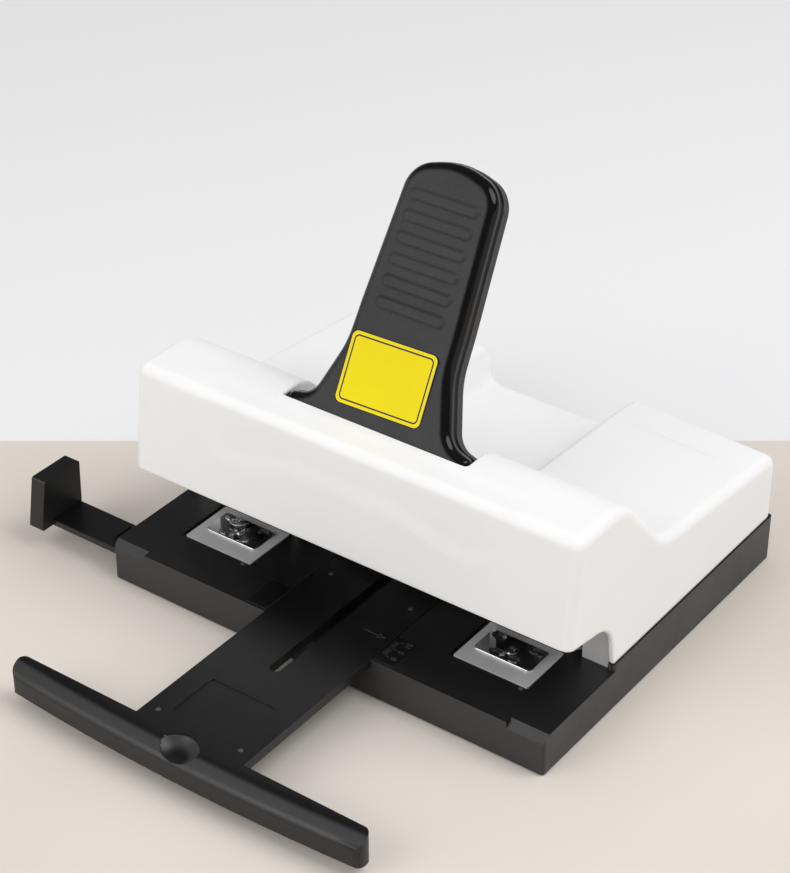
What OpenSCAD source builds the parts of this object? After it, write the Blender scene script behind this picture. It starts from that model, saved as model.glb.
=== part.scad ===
// Double-headed desk stapler: two staple heads side by side, pressed by one palm lever.
// X runs along the width, Y from the paper side to the back, Z up from the desk.

/* [Base] */
// Width of the base
base_w = 213; // [200:1:240]
// Depth of the base, paper side to back
base_d = 174; // [165:1:200]
// Height of the paper table above the desk
table_h = 18; // [17:0.5:24]
// Thickness of the table's deck
deck_t = 3; // [2.5:0.1:4]
// Thickness of the base's skirt walls
base_wall = 3; // [2:0.1:4]
// Height of the walls that carry the cover, above the table
seam_rise = 3.4; // [3:0.1:6]
// Depth of the open table in front of those walls
table_open = 48.7; // [46:0.1:52]
// Thickness of the rubber sole
sole_t = 1.5; // [1:0.1:2.5]
// Thickness of the bottom plate
floor_t = 1.5; // [1:0.1:2]
// How far the sole stays inside the base's edge
sole_inset = 5; // [3:0.5:10]

/* [Cover] */
// Width of the white cover
cover_w = 212; // [208:0.5:212]
// Table left bare in front of the cover
cover_setback = 15; // [12:0.5:18]
// Height of the cover's front edge above the table
throat_h = 29.5; // [28:0.5:34]
// Height of the front beam's top above the desk
beam_top = 94.5; // [94:0.5:100]
// How far the front face leans back from its lower edge to its top
face_lean = 5; // [2:0.5:7]
// Depth of the beam's top, front edge to the brow of its rear slope
beam_d = 33; // [32:0.5:36]
// Run of the beam's rear slope
slope_run = 27; // [24:0.5:28]
// Height of the wings where they leave the beam
wing_front_h = 63.5; // [63:0.5:66]
// Height of the wings at the back
wing_rear_h = 54.5; // [54:0.5:58]
// Wall of the cover
cover_wall = 2.5; // [1.5:0.1:2.7]
// Depth of the waved panel pressed into the front face
panel_depth = 1.2; // [0.5:0.1:1.5]
// Width of the hand scoop between the wings
scoop_w = 74; // [70:1:78]
// Height of the scoop's floor at the back
scoop_rear_h = 34.5; // [33:0.5:40]
// Height of the scoop's floor behind the lever
scoop_front_h = 60; // [56:0.5:61]
// Distance of the scoop's front wall behind the lever shaft
scoop_reach = 26.6; // [26:0.2:28]

/* [Lever] */
// Lean of the lever from upright, at rest
lever_lean = 30.5; // [28:0.5:33]
// Length of the lever, shaft to tip
lever_len = 128.2; // [110:1:140]
// Width of the lever's head
lever_w = 42.4; // [38:0.2:44]
// Thickness of the lever
lever_t = 14; // [13:0.2:15]
// Width of the flared foot
foot_w = 88.5; // [85:0.5:91]
// Swing of the lever
lever_swing = 60; // [50:1:60]
// Radius of the flare between lever and foot
flare_r = 22; // [19.5:0.5:23]
// Width of the gloss rim round the grip face
rim_w = 3.4; // [2.5:0.1:4.5]
// Depth of the grip face below the rim
grip_sunk = 1.2; // [0.6:0.1:2]
// Number of ribs across the grip
rib_count = 6; // [4:1:6]
// Spacing of the ribs
rib_pitch = 8.7; // [7:0.1:9]
// Length of each rib
rib_len = 30; // [24:0.5:34]
// Width of each rib
rib_w = 4.4; // [3:0.1:5]
// Diameter of the lever shaft
shaft_d = 10; // [8:0.2:10]
// Height of the shaft above the desk
shaft_h = 72; // [72:0.2:73]

/* [Press] */
// Base radius of the involute cams: press travel for each radian of swing
cam_r = 18.5; // [18:0.1:18.7]
// Width of each cam
cam_w = 7; // [5:0.5:7]
// Height of the press bar
bar_h = 10; // [8:0.5:10]
// Depth of the press bar
bar_d = 12; // [10:0.5:13]
// Diameter of the guide posts
post_d = 8; // [6:0.2:8]
// Distance between the guide posts
post_gap = 168; // [166:0.5:169]
// Thickness of the driver blades
blade_t = 0.8; // [0.6:0.1:1]
// Wire of the return springs
spring_wire = 1.2; // [0.8:0.1:1.4]
// Turns of each return spring
spring_turns = 9; // [6:1:10]

/* [Heads] */
// Distance between the two staple heads
head_gap = 135.4; // [134:0.2:137]
// Width of the staple crown
crown_w = 12.8; // [11:0.2:13]
// Leg of the longest staple
staple_leg = 8; // [6:0.5:8]
// Outer width of the magazine
mag_w = 18; // [17:0.2:18]
// Height of the magazine
mag_h = 12; // [11.6:0.1:12]
// Sheet of the magazine's channel
mag_sheet = 1.2; // [0.8:0.1:1.2]
// Clear height under the nose at rest, above the anvil
nose_lift = 11.9; // [10:0.1:12]
// Distance of the magazine's hinge in front of the base's back edge
hinge_setback = 17; // [15:0.5:20]
// Pull of the staple pusher
pusher_pull = 75; // [50:1:80]

/* [Anvils] */
// Width of the reversible anvil
anvil_w = 26.8; // [24:0.2:27]
// Depth of the reversible anvil
anvil_d = 14.5; // [13:0.1:15]
// Thickness of the anvil
anvil_t = 1.2; // [0.8:0.1:1.5]
// Width of the anvil's seat plate
seat_w = 34.3; // [31:0.1:35]
// Depth of the anvil's seat plate
seat_d = 26; // [22:0.5:28]
// Thickness of the seat plate
seat_t = 1.5; // [1:0.1:2]
// Distance of the seat behind the base's front edge
seat_setback = 21; // [19:0.5:22]
// Distance of the clinch rows from the anvil's rivet
row_offset = 5.3; // [4.5:0.1:5.5]
// Diameter of the anvil's rivet
rivet_d = 5; // [4:0.1:6]

/* [Gauges] */
// Width of the depth gauge's plate
gauge_w = 52; // [46:0.5:54]
// Thickness of the depth gauge's plate
gauge_t = 4.2; // [3:0.1:4.5]
// How far the gauge's crossbar stands out from the base
gauge_out = 76.5; // [60:0.5:80]
// Length of the gauge's crossbar
tbar_len = 169; // [140:1:180]
// Depth of the gauge's crossbar at its ends
tbar_d = 8.1; // [8:0.1:11]
// How far the crossbar's front bows out in the middle
tbar_bow = 3.5; // [2:0.5:6]
// Height of the gauge's crossbar
tbar_h = 13.5; // [12:0.1:16]
// Width of the gauge's slot
gauge_slot_w = 5; // [4.8:0.1:7]
// Reading of the margin scale at rest
gauge_reading = 8.6; // [5:0.1:10]
// Height of the paper stop on the gauge
stop_h = 9; // [7:0.5:10]
// How far the side gauge's stop stands out from the base
side_out = 37; // [25:0.5:45]
// Width of the side gauge's bar
side_bar_w = 17.4; // [14:0.2:18]
// Thickness of the side gauge's bar
side_bar_t = 2.8; // [2:0.1:3]
// Height of the side gauge's stop
side_stop_h = 23; // [18:0.5:28]

/* [Fits] */
// Running clearance on a radius, shafts and pins
run_fit = 0.05; // [0.02:0.01:0.08]
// Clearance of sliding flat pieces
slide_fit = 0.3; // [0.2:0.05:0.4]
// Gap left between pieces that pass each other
pass_gap = 0.6; // [0.4:0.1:0.8]

/* [Hidden] */
$fn = 64;
eps = 0.01;
arc_n = 6;
// Base levels and edges
front_y = -base_d / 2;
back_y = base_d / 2;
side_x = base_w / 2;
deck_z = table_h - deck_t;
seam_z = table_h + seam_rise;
step_y = front_y + table_open;
floor_z = sole_t;
skirt_z = 0.4;
base_corner_r = 1.6;
edge_chamfer_y = 3.5;
edge_chamfer_z = 3;
edge_chamfer_len = 17;
boss_r = 4;
screw_r = 1.5;
screw_head_r = 3;
screw_head_h = 1.2;
base_screw_len = 8.5;
// Cover
cover_x = cover_w / 2;
cover_front_y = front_y + cover_setback;
throat_z = table_h + throat_h;
cover_top_front_y = cover_front_y + face_lean;
brow_y = cover_top_front_y + beam_d;
slope_end_y = brow_y + slope_run;
cover_back_y = back_y;
arch_y = step_y + 0.2;
arch_corner = [arch_y - 4.2, throat_z - 5.3];
arch_r = 12;
cover_corner_r = 4;
cover_rear_corner_r = 4;
cover_rear_top_r = 6;
slot_corner_r = 2;
cheek_gap = 6.5;
cheek_lift = 1.6;
cover_boss_r = 3.6;
cover_boss_x = side_x - base_wall - cover_boss_r - 0.5;
cover_boss_ys = [step_y + 14, back_y - base_wall - cover_boss_r - 1];
// Heads
head_x = head_gap / 2;
seat_front_y = front_y + seat_setback;
seat_z = table_h + 0.4;
anvil_y = seat_front_y + 7.8 + anvil_d / 2;
anvil_z = seat_z + anvil_t;
staple_y = anvil_y + row_offset;
nose_low_z = anvil_z + pass_gap;
nose_rest_z = anvil_z + nose_lift;
hinge_y = back_y - hinge_setback;
hinge_z = nose_low_z + 6.3;
hinge_pin_r = 2;
mag_tilt = asin((nose_rest_z - nose_low_z) / (hinge_y - staple_y));
nose_d = 9;
nose_front_y = staple_y - 5;
mag_end_y = hinge_y + 9;
rail_w = crown_w - 2.4;
rail_h = 7.4;
rail_end_y = hinge_y - 8;
rod_r = 1.4;
rod_z = nose_low_z + mag_h - rod_r - 0.4;
pusher_len = 16;
pusher_front_y = nose_front_y + nose_d + 1;
knob_w = 20;
knob_h = 10;
knob_d = 12;
knob_y = back_y - 6;
// Press
shaft_r = shaft_d / 2;
shaft_lean_offset = lever_t / 2;
// The lever's front face meets the beam's top just behind the slot's front edge
slot_front_y = cover_top_front_y + 15.6;
face_foot_y = slot_front_y + 2;
shaft_y = face_foot_y + (shaft_lean_offset * cos(lever_lean) - (beam_top - shaft_h
          - shaft_lean_offset * sin(lever_lean)) * tan(lever_lean));
swing_rad = lever_swing * PI / 180;
press_travel = cam_r * swing_rad;
cam_lead = 0.1;
pad_z = shaft_h - cam_r * cam_lead - 0.15;
pad_y = shaft_y + cam_r;
bar_z = nose_low_z + mag_h + 1.4 + press_travel;
bar_front_y = staple_y - bar_d / 2;
bar_back_y = staple_y + bar_d / 2;
post_x = post_gap / 2;
post_r = post_d / 2;
post_y = step_y + 7.3;
post_top_z = bar_z + bar_h + 9;
lug_half = post_r + 2.4;
blade_tip_z = nose_rest_z + staple_leg + 0.5;
blade_root_z = bar_z + bar_h - 2;
spring_r = post_r + spring_wire / 2 + 0.9;
// Frame plates
plate_t = 3;
scoop_mouth_x = foot_w / 2 + 1.1;
plate_x = scoop_mouth_x + cover_wall + 0.4;
cam_x = plate_x + plate_t + 1.4;
side_frame_t = 1.5;
side_frame_x = post_x + lug_half + 0.7;
// Gauges
gauge_x = gauge_w / 2;
gauge_floor_z = table_h - gauge_t - 0.1;
tbar_back_y = front_y - gauge_out;
tbar_low_z = table_h - tbar_h;
gauge_stow = gauge_out - 2;
guide_pin_r = gauge_slot_w / 2 - slide_fit;
guide_pin_y = step_y + 5.5;
slot_end_y = guide_pin_y + guide_pin_r + slide_fit + gauge_reading;
slot_spare = 5;
slot_start_y = guide_pin_y - guide_pin_r - slide_fit - gauge_stow - slot_spare;
gauge_end_y = slot_end_y + 7;
channel_end_y = gauge_end_y + gauge_stow + 1.5;
stop_y = staple_y + gauge_reading;
side_bar_y = front_y + 2.6 + side_bar_w / 2;
side_bar_z = table_h - 8.3;
side_bar_in = 36;
side_bar_end_x = -side_x + side_bar_in;
side_stop_t = 7.4;
side_travel = side_out - 1;
side_rib_h = 0.5;
side_rib_y = [side_bar_y - 4, side_bar_y + side_bar_w / 2 - 2];
well_y = staple_y + 20;
well_r = 5.3;
well_z = floor_z + floor_t + 3.5;

// Outline helpers: a corner is [x, y, radius]
function unit(v) = v / norm(v);
function flat(p) = [p.x, p.y];
function corner(p, a, b, r) =
    r <= 0 ? [p] :
    let (u = unit(a - p), v = unit(b - p), half = acos(u * v) / 2)
    let (c = p + unit(u + v) * r / sin(half), s = p + u * r / tan(half), e = p + v * r / tan(half))
    let (a0 = atan2(s.y - c.y, s.x - c.x), a1 = atan2(e.y - c.y, e.x - c.x))
    let (turn = (a1 - a0 + 540) % 360 - 180)
    [for (i = [0:arc_n]) c + r * [cos(a0 + turn * i / arc_n), sin(a0 + turn * i / arc_n)]];
function rounded(pts) =
    let (n = len(pts))
    [for (i = [0:n - 1]) each corner(flat(pts[i]), flat(pts[(i + n - 1) % n]), flat(pts[(i + 1) % n]),
        pts[i].z)];
// Moves every edge of an anticlockwise outline inwards by d
function inset(pts, d) =
    let (n = len(pts))
    [for (i = [0:n - 1])
        let (p = flat(pts[i]), e1 = unit(p - flat(pts[(i + n - 1) % n])),
            e2 = unit(flat(pts[(i + 1) % n]) - p))
        let (n1 = [-e1.y, e1.x], n2 = [-e2.y, e2.x], q = p + (n1 + n2) * d / (1 + n1 * n2))
        let (convex = e1.x * e2.y - e1.y * e2.x > 0)
        [q.x, q.y, convex ? max(pts[i].z - d, 0) : pts[i].z > 0 ? pts[i].z + d : 0]];
function rect(x0, y0, x1, y1, r) = [[x0, y0, r], [x1, y0, r], [x1, y1, r], [x0, y1, r]];

module along_x(w) { rotate([90, 0, 90]) linear_extrude(w, center = true) children(); }
module along_y(d) { rotate([90, 0, 0]) linear_extrude(d, center = true) children(); }
module box(lo, hi) { translate(lo) cube(hi - lo); }
module rod_x(r, x0, x1) { translate([x0, 0, 0]) rotate([0, 90, 0]) cylinder(r = r, h = x1 - x0); }
module rod_y(r, y0, y1) { translate([0, y0, 0]) rotate([-90, 0, 0]) cylinder(r = r, h = y1 - y0); }
module both_sides() { children(); mirror([1, 0, 0]) children(); }
module slab(pts, z0, z1) { translate([0, 0, z0]) linear_extrude(z1 - z0) polygon(rounded(pts)); }

// Where the screws and bosses stand
base_screw_spots = [for (sx = [-1, 1]) each [[sx * (side_x - 10.5), 50],
    [sx * (gauge_x + 16), step_y - 14]]];
cover_screw_spots = [for (sx = [-1, 1], y = cover_boss_ys) [sx * cover_boss_x, y]];
frame_foot_w = 5.6;
frame_foot_x = plate_x + plate_t + frame_foot_w / 2 + 0.1;
frame_screw_ys = [step_y + 12, step_y + 30];
frame_screw_spots = [for (sx = [-1, 1], y = frame_screw_ys) [sx * frame_foot_x, y]];

// Base
module side_bar_tunnel() {
    box([-side_x - 1, side_bar_y - side_bar_w / 2 - slide_fit, side_bar_z - slide_fit / 2],
        [side_bar_end_x + side_travel + 3, side_bar_y + side_bar_w / 2 + slide_fit,
         side_bar_z + side_bar_t + slide_fit / 2]);
    // Groove for the rib on the bar
    box([-side_x - 1, side_rib_y[0] - slide_fit, side_bar_z],
        [-side_x + side_travel, side_rib_y[1] + slide_fit,
         side_bar_z + side_bar_t + side_rib_h + slide_fit / 2]);
}

module base_body() {
    difference() {
        union() {
            slab(rect(-side_x, front_y, side_x, back_y, base_corner_r), skirt_z, table_h);
            // Walls under the cover
            difference() {
                slab(rect(-side_x, step_y, side_x, back_y, base_corner_r), table_h, seam_z);
                box([-side_x + base_wall, step_y - 1, table_h],
                    [side_x - base_wall, back_y - base_wall, seam_z + 1]);
            }
        }
        // Hollow underneath
        slab(rect(-side_x + base_wall, front_y + base_wall, side_x - base_wall, back_y - base_wall, 1),
             skirt_z - 1, deck_z);
    }
}

module base_pan() {
    color("#2b2b2c") difference() {
        union() {
            base_body();
            // Trough that carries the depth gauge
            box([-gauge_x - 3, front_y + base_wall, gauge_floor_z - 2.4],
                [gauge_x + 3, channel_end_y + 3, deck_z]);
            // Guide block of the side gauge
            box([-side_x + base_wall, front_y + base_wall, side_bar_z - 2.2],
                [-side_x + 30, side_bar_y + side_bar_w / 2 + 3, deck_z]);
            for (p = base_screw_spots)
                translate([p.x, p.y, floor_z + floor_t])
                    cylinder(r = boss_r, h = deck_z - floor_z - floor_t);
            both_sides() translate([head_x, well_y, well_z - 2])
                cylinder(r = well_r + 1.6, h = deck_z - well_z + 2);
        }
        box([-gauge_x - slide_fit, front_y - 1, gauge_floor_z],
            [gauge_x + slide_fit, channel_end_y, table_h + 1]);
        side_bar_tunnel();
        for (p = base_screw_spots) translate([p.x, p.y, floor_z])
            cylinder(r = screw_r, h = base_screw_len + 0.5);
        for (p = cover_screw_spots) translate([p.x, p.y, deck_z - 1])
            cylinder(r = screw_r, h = deck_t + 2);
        for (p = frame_screw_spots) translate([p.x, p.y, deck_z - 1])
            cylinder(r = screw_r, h = deck_t + 2);
        both_sides() translate([head_x, well_y, well_z]) cylinder(r = well_r, h = table_h);
        both_sides() translate([post_x, post_y, deck_z - 1]) cylinder(r = post_r - 1, h = deck_t + 2);
        translate([0, guide_pin_y, gauge_floor_z - 3]) cylinder(r = screw_r, h = 4);
        // Recesses of the seats, wider on the left, and of the two small plates
        for (sx = [-1, 1])
            box([sx * head_x - seat_w / 2 - 2.3, seat_front_y - 0.2, seat_z - seat_t],
                [sx * head_x + seat_w / 2 + 0.2, seat_front_y + seat_d + 0.2, table_h + 1]);
        for (sx = [-1, 1]) translate([sx * head_x, anvil_y, deck_z - 1])
            cylinder(r = rivet_d / 2, h = deck_t + 2);
        both_sides() box([gauge_x, scale_y0 - 0.1, table_h - scale_t],
            [scale_x1 + 0.1, scale_y1 + 0.1, table_h + 1]);
        // Bevels at the two ends of the front edge
        both_sides() translate([side_x + 1 - edge_chamfer_len / 2, 0, 0]) along_x(edge_chamfer_len + 2)
            polygon([[front_y - 1, table_h + 1],
                     [front_y - 1, table_h - edge_chamfer_z - edge_chamfer_z / edge_chamfer_y],
                     [front_y + edge_chamfer_y + edge_chamfer_y / edge_chamfer_z, table_h + 1]]);
    }
}

module bottom_plate() {
    color("#8d9094") difference() {
        slab(rect(-side_x + base_wall + 0.3, front_y + base_wall + 0.3, side_x - base_wall - 0.3,
                  back_y - base_wall - 0.3, 1), floor_z, floor_z + floor_t);
        for (p = base_screw_spots) translate([p.x, p.y, 0])
            cylinder(r = screw_r + 0.1, h = floor_z + floor_t + 1);
    }
}

module rubber_sole() {
    color("#1c1c1c") difference() {
        slab(rect(-side_x + sole_inset, front_y + sole_inset, side_x - sole_inset, back_y - sole_inset, 6),
             0, sole_t);
        for (p = base_screw_spots) translate([p.x, p.y, -1])
            cylinder(r = screw_head_r + 1, h = sole_t + 2);
    }
}

module base_screws() {
    color("#b7babd") for (p = base_screw_spots) translate([p.x, p.y, 0]) {
        translate([0, 0, floor_z - screw_head_h]) cylinder(r = screw_head_r, h = screw_head_h);
        translate([0, 0, floor_z - eps]) cylinder(r = screw_r - 0.02, h = base_screw_len);
    }
}

// Frame
plate_outline = [[step_y + 1.3, table_h, 0], [step_y + 38, table_h, 0],
                 [step_y + 38, wing_front_h - 12, 3], [slope_end_y - 4, wing_front_h - 7, 3],
                 [brow_y - 3, beam_top - 8.5, 5], [cover_top_front_y + 6, beam_top - 6.5, 3],
                 [cover_top_front_y + 6, bar_z + bar_h + 2, 2], [step_y + 1.3, bar_z + bar_h + 2, 0]];

module frame_plate() {
    difference() {
        union() {
            translate([plate_x + plate_t / 2, 0, 0]) along_x(plate_t) polygon(rounded(plate_outline));
            box([plate_x + plate_t - eps, frame_screw_ys[0] - 5, table_h],
                [plate_x + plate_t + frame_foot_w, frame_screw_ys[1] + 5, table_h + plate_t]);
        }
        translate([0, shaft_y, shaft_h]) rod_x(shaft_r + 2, plate_x - 1, plate_x + plate_t + 1);
        for (y = frame_screw_ys) translate([frame_foot_x, y, table_h - 1])
            cylinder(r = screw_r + 0.1, h = plate_t + 2);
        for (p = spacer_spots) translate([0, p.x, p.y])
            rod_x(spacer_pin_r, plate_x - 1, plate_x + plate_t + 1);
    }
}

spacer_r = 4;
spacer_pin_r = 2;
spacer_over_stop = 3;
// Both spacers stand over the paper stop, clear of its travel
spacer_spots = [for (y = frame_screw_ys) [y, table_h + stop_h + spacer_r + spacer_over_stop]];

module frame_plate_left() { color("#9a9da0") mirror([1, 0, 0]) frame_plate(); }
module frame_plate_right() { color("#9a9da0") frame_plate(); }

module frame_spacers() {
    color("#a9acaf") for (p = spacer_spots) translate([0, p.x, p.y]) {
        rod_x(spacer_r, -plate_x, plate_x);
        rod_x(spacer_pin_r - 0.02, -plate_x - plate_t - 1.5, plate_x + plate_t + 1.5);
    }
}

module frame_screws() {
    color("#b7babd") for (p = frame_screw_spots) translate([p.x, p.y, 0]) {
        translate([0, 0, table_h + plate_t]) cylinder(r = frame_foot_w / 2 - 0.2, h = screw_head_h + 0.6);
        translate([0, 0, deck_z]) cylinder(r = screw_r - 0.02, h = deck_t + plate_t + eps);
    }
}

module side_frame() {
    flange_x = cover_x - cover_wall - 0.5;
    box([side_frame_x, step_y + 1.3, table_h], [flange_x, step_y + 1.3 + side_frame_t, throat_z + 6]);
    box([side_frame_x, step_y + 1.3, table_h], [side_frame_x + side_frame_t, step_y + 40, throat_z - 4]);
}

module side_frame_left() { color("#8f9295") mirror([1, 0, 0]) side_frame(); }
module side_frame_right() { color("#8f9295") side_frame(); }

module guide_posts() {
    color("#c4c7ca") both_sides() translate([post_x, post_y, 0]) {
        translate([0, 0, table_h]) cylinder(r = post_r, h = post_top_z - table_h);
        translate([0, 0, deck_z]) cylinder(r = post_r - 1.02, h = deck_t + eps);
    }
}

// Cover
cover_outline = [[arch_y, seam_z, 0], [cover_back_y, seam_z, 0],
                 [cover_back_y, wing_rear_h, cover_rear_top_r], [slope_end_y, wing_front_h, 12],
                 [brow_y, beam_top, 20], [cover_top_front_y, beam_top, 4.5],
                 [cover_front_y, throat_z, 0.8], [arch_corner.x, arch_corner.y, arch_r]];
// The same outline with its open underside carried down below the base
lean_per_mm = face_lean / (beam_top - throat_z);
hollow_outline = [[cover_front_y - lean_per_mm * throat_z, 0, 0], [cover_back_y, 0, 0],
                  [cover_back_y, wing_rear_h, cover_rear_top_r], [slope_end_y, wing_front_h, 12],
                  [brow_y, beam_top, 20], [cover_top_front_y, beam_top, 4.5]];
cover_plan = [[-cover_x, cover_front_y - 1, cover_corner_r],
              [cover_x, cover_front_y - 1, cover_corner_r],
              [cover_x, cover_back_y, cover_rear_corner_r],
              [-cover_x, cover_back_y, cover_rear_corner_r]];
// Hand scoop: plan and floor
scoop_front_y = shaft_y + scoop_reach;
scoop_x = scoop_w / 2;
scoop_plan = [[-scoop_mouth_x, slot_front_y, slot_corner_r],
              [scoop_mouth_x, slot_front_y, slot_corner_r], [scoop_mouth_x, scoop_front_y + 6, 12],
              [scoop_x + 2.5, slope_end_y + 12, 30], [scoop_x, back_y - 20, 0],
              [scoop_x, back_y + 8, 0], [-scoop_x, back_y + 8, 0], [-scoop_x, back_y - 20, 0],
              [-scoop_x - 2.5, slope_end_y + 12, 30], [-scoop_mouth_x, scoop_front_y + 6, 12]];
scoop_floor = [[scoop_front_y, beam_top + 8, 0], [scoop_front_y, scoop_front_h, 0.6],
               [scoop_front_y + 5, scoop_front_h - 8, 10], [slope_end_y + 18, scoop_rear_h + 7, 60],
               [back_y + 8, scoop_rear_h - 1, 0], [back_y + 8, beam_top + 8, 0]];
scoop_trough = [[-scoop_mouth_x - 1, beam_top + 8, 0], [-scoop_mouth_x - 1, wing_rear_h, 0],
                [-scoop_x - 0.4, wing_rear_h - 9, 6], [-scoop_x + 2, scoop_rear_h + 1, 9],
                [0, scoop_rear_h - 0.6, 120], [scoop_x - 2, scoop_rear_h + 1, 9],
                [scoop_x + 0.4, wing_rear_h - 9, 6], [scoop_mouth_x + 1, wing_rear_h, 0],
                [scoop_mouth_x + 1, beam_top + 8, 0]];
// Half of the waved panel's lower edge on the front face, as distances from the centre and up the face
panel_half_w = 76.5;
panel_wave = [[panel_half_w, 49, 0], [70, 29, 6], [64, 20.5, 9], [46, 21.5, 20], [24, 27.5, 40]];
panel_outline = concat(panel_wave,
                       [for (i = [len(panel_wave) - 1:-1:0])
                           [-panel_wave[i].x, panel_wave[i].y, panel_wave[i].z]]);

module scoop(grow) {
    intersection() {
        along_x(2 * cover_x) polygon(rounded(inset(scoop_floor, -grow)));
        translate([0, 0, scoop_rear_h - 10]) linear_extrude(beam_top)
            polygon(rounded(inset(scoop_plan, -grow)));
        along_y(2 * base_d) polygon(rounded(inset(scoop_trough, -grow)));
    }
}

module cover_block(outline, half_w, plan) {
    intersection() {
        along_x(2 * half_w) polygon(rounded(outline));
        linear_extrude(2 * beam_top, center = true) polygon(rounded(plan));
    }
}

module top_cover() {
    color("#f3f3f2") difference() {
        union() {
            difference() {
                cover_block(cover_outline, cover_x, cover_plan);
                difference() {
                    cover_block(inset(hollow_outline, cover_wall), cover_x - cover_wall,
                        inset(cover_plan, cover_wall));
                    scoop(cover_wall);
                }
            }
            for (p = cover_screw_spots) {
                translate([p.x, p.y, table_h]) cylinder(r = cover_boss_r, h = cover_boss_h);
                // Rib from the boss to the side wall
                box([min(p.x, sign(p.x) * (cover_x - 1)), p.y - 1.2, seam_z + 1],
                    [max(p.x, sign(p.x) * (cover_x - 1)), p.y + 1.2, table_h + cover_boss_h]);
            }
            // Cheeks that close the two ends of the lever's slot
            intersection() {
                cover_block(cover_outline, cover_x, cover_plan);
                both_sides() box([scoop_mouth_x, slot_front_y + cheek_gap, bar_z + bar_h + cheek_lift],
                    [scoop_mouth_x + cover_wall, scoop_front_y + eps, beam_top]);
            }
        }
        scoop(0);
        // Slot of the lever, open into the beam
        slab([[-scoop_mouth_x, slot_front_y, slot_corner_r], [scoop_mouth_x, slot_front_y, slot_corner_r],
              [scoop_mouth_x, scoop_front_y + eps, 0], [-scoop_mouth_x, scoop_front_y + eps, 0]],
             scoop_front_h, beam_top + 8);
        for (p = cover_screw_spots) translate([p.x, p.y, table_h - 1])
            cylinder(r = screw_r, h = cover_boss_h - 4);
        // Windows of the two magazine knobs
        both_sides() box([head_x - knob_w / 2 - 2, back_y - cover_wall - 4, seam_z - 1],
                         [head_x + knob_w / 2 + 2, back_y + 1, rod_z + knob_h / 2 + 3]);
        // Waved panel in the front face
        translate([0, cover_front_y, throat_z]) rotate([-atan(lean_per_mm), 0, 0])
            translate([0, panel_depth - 5, 0]) along_y(10)
                polygon(rounded(panel_outline));
    }
}
cover_boss_h = 26;

module cover_screws() {
    color("#b7babd") for (p = cover_screw_spots) translate([p.x, p.y, 0]) {
        translate([0, 0, deck_z - screw_head_h]) cylinder(r = screw_head_r, h = screw_head_h);
        translate([0, 0, deck_z - eps]) cylinder(r = screw_r - 0.02, h = deck_t + 12);
    }
}

// Anvils
module anvil_seat(sx) {
    translate([sx * head_x, 0, 0]) difference() {
        slab(rect(-seat_w / 2, seat_front_y, seat_w / 2, seat_front_y + seat_d, 0.6), seat_z - seat_t,
            seat_z);
        translate([0, anvil_y, 0]) cylinder(r = rivet_d / 2, h = seat_z + 1);
    }
}
module anvil_seat_left() { color("#bfc1c3") anvil_seat(-1); }
module anvil_seat_right() { color("#bfc1c3") anvil_seat(1); }

groove_r = 3.2;
groove_depth = 0.5;
groove_len = 6.6;
wide_row_x = 8.6;
close_row_x = 3.7;

module clinch_groove(x, y) {
    translate([x, y, anvil_z + groove_r - groove_depth]) rotate([0, 90, 0])
        cylinder(r = groove_r, h = groove_len, center = true);
}

module anvil(sx) {
    translate([sx * head_x, anvil_y, 0]) difference() {
        slab(rect(-anvil_w / 2, -anvil_d / 2, anvil_w / 2, anvil_d / 2, 1.6), seat_z, anvil_z);
        translate([0, 0, seat_z - 1]) cylinder(r = rivet_d / 2 + run_fit, h = anvil_t + 2);
        for (x = [-1, 1]) {
            clinch_groove(x * wide_row_x, row_offset);
            clinch_groove(x * close_row_x, -row_offset);
        }
    }
}
module anvil_left() { color("#d9dbdd") anvil(-1); }
module anvil_right() { color("#d9dbdd") anvil(1); }

module anvil_rivets() {
    color("#cfd1d3") both_sides() translate([head_x, anvil_y, 0]) difference() {
        translate([0, 0, deck_z]) cylinder(r = rivet_d / 2 - 0.02, h = anvil_z - deck_z);
        translate([0, 0, anvil_z + 2]) sphere(r = 2.6);
    }
}

// Small plates beside the gauge
scale_t = 0.8;
scale_x1 = gauge_x + 10.7;
scale_y0 = front_y + 1.4;
scale_y1 = front_y + 18.6;

module small_plate() {
    box([gauge_x + slide_fit + 0.1, scale_y0, table_h - scale_t], [scale_x1, scale_y1, table_h]);
}
module depth_scale() { color("#303031") small_plate(); }
module blank_plate() { color("#303031") mirror([1, 0, 0]) small_plate(); }

// Magazines, drawn level and tipped up to their rest
module at_rest() {
    translate([0, hinge_y, hinge_z]) rotate([-mag_tilt, 0, 0]) translate([0, -hinge_y, -hinge_z])
        children();
}
module at_head(sx) { translate([sx * head_x, 0, 0]) children(); }

bracket_t = 2;
bracket_in = mag_w / 2 + slide_fit;
bracket_out = bracket_in + bracket_t;

module hinge_bracket(sx) {
    at_head(sx) difference() {
        union() {
            box([-bracket_out, hinge_y - 6, table_h], [bracket_out, hinge_y + 6, table_h + 0.8]);
            for (s = [-1, 1])
                box([s > 0 ? bracket_in : -bracket_out, hinge_y - 6, table_h],
                    [s > 0 ? bracket_out : -bracket_in, hinge_y + 6, hinge_z + 6]);
        }
        translate([0, hinge_y, hinge_z]) rod_x(hinge_pin_r, -bracket_out - 1, bracket_out + 1);
    }
}
module hinge_bracket_left() { color("#9a9da0") hinge_bracket(-1); }
module hinge_bracket_right() { color("#9a9da0") hinge_bracket(1); }

module hinge_pins() {
    color("#c4c7ca") for (sx = [-1, 1])
        at_head(sx) translate([0, hinge_y, hinge_z])
            rod_x(hinge_pin_r - 0.02, -bracket_out - 0.5, bracket_out + 0.5);
}

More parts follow.
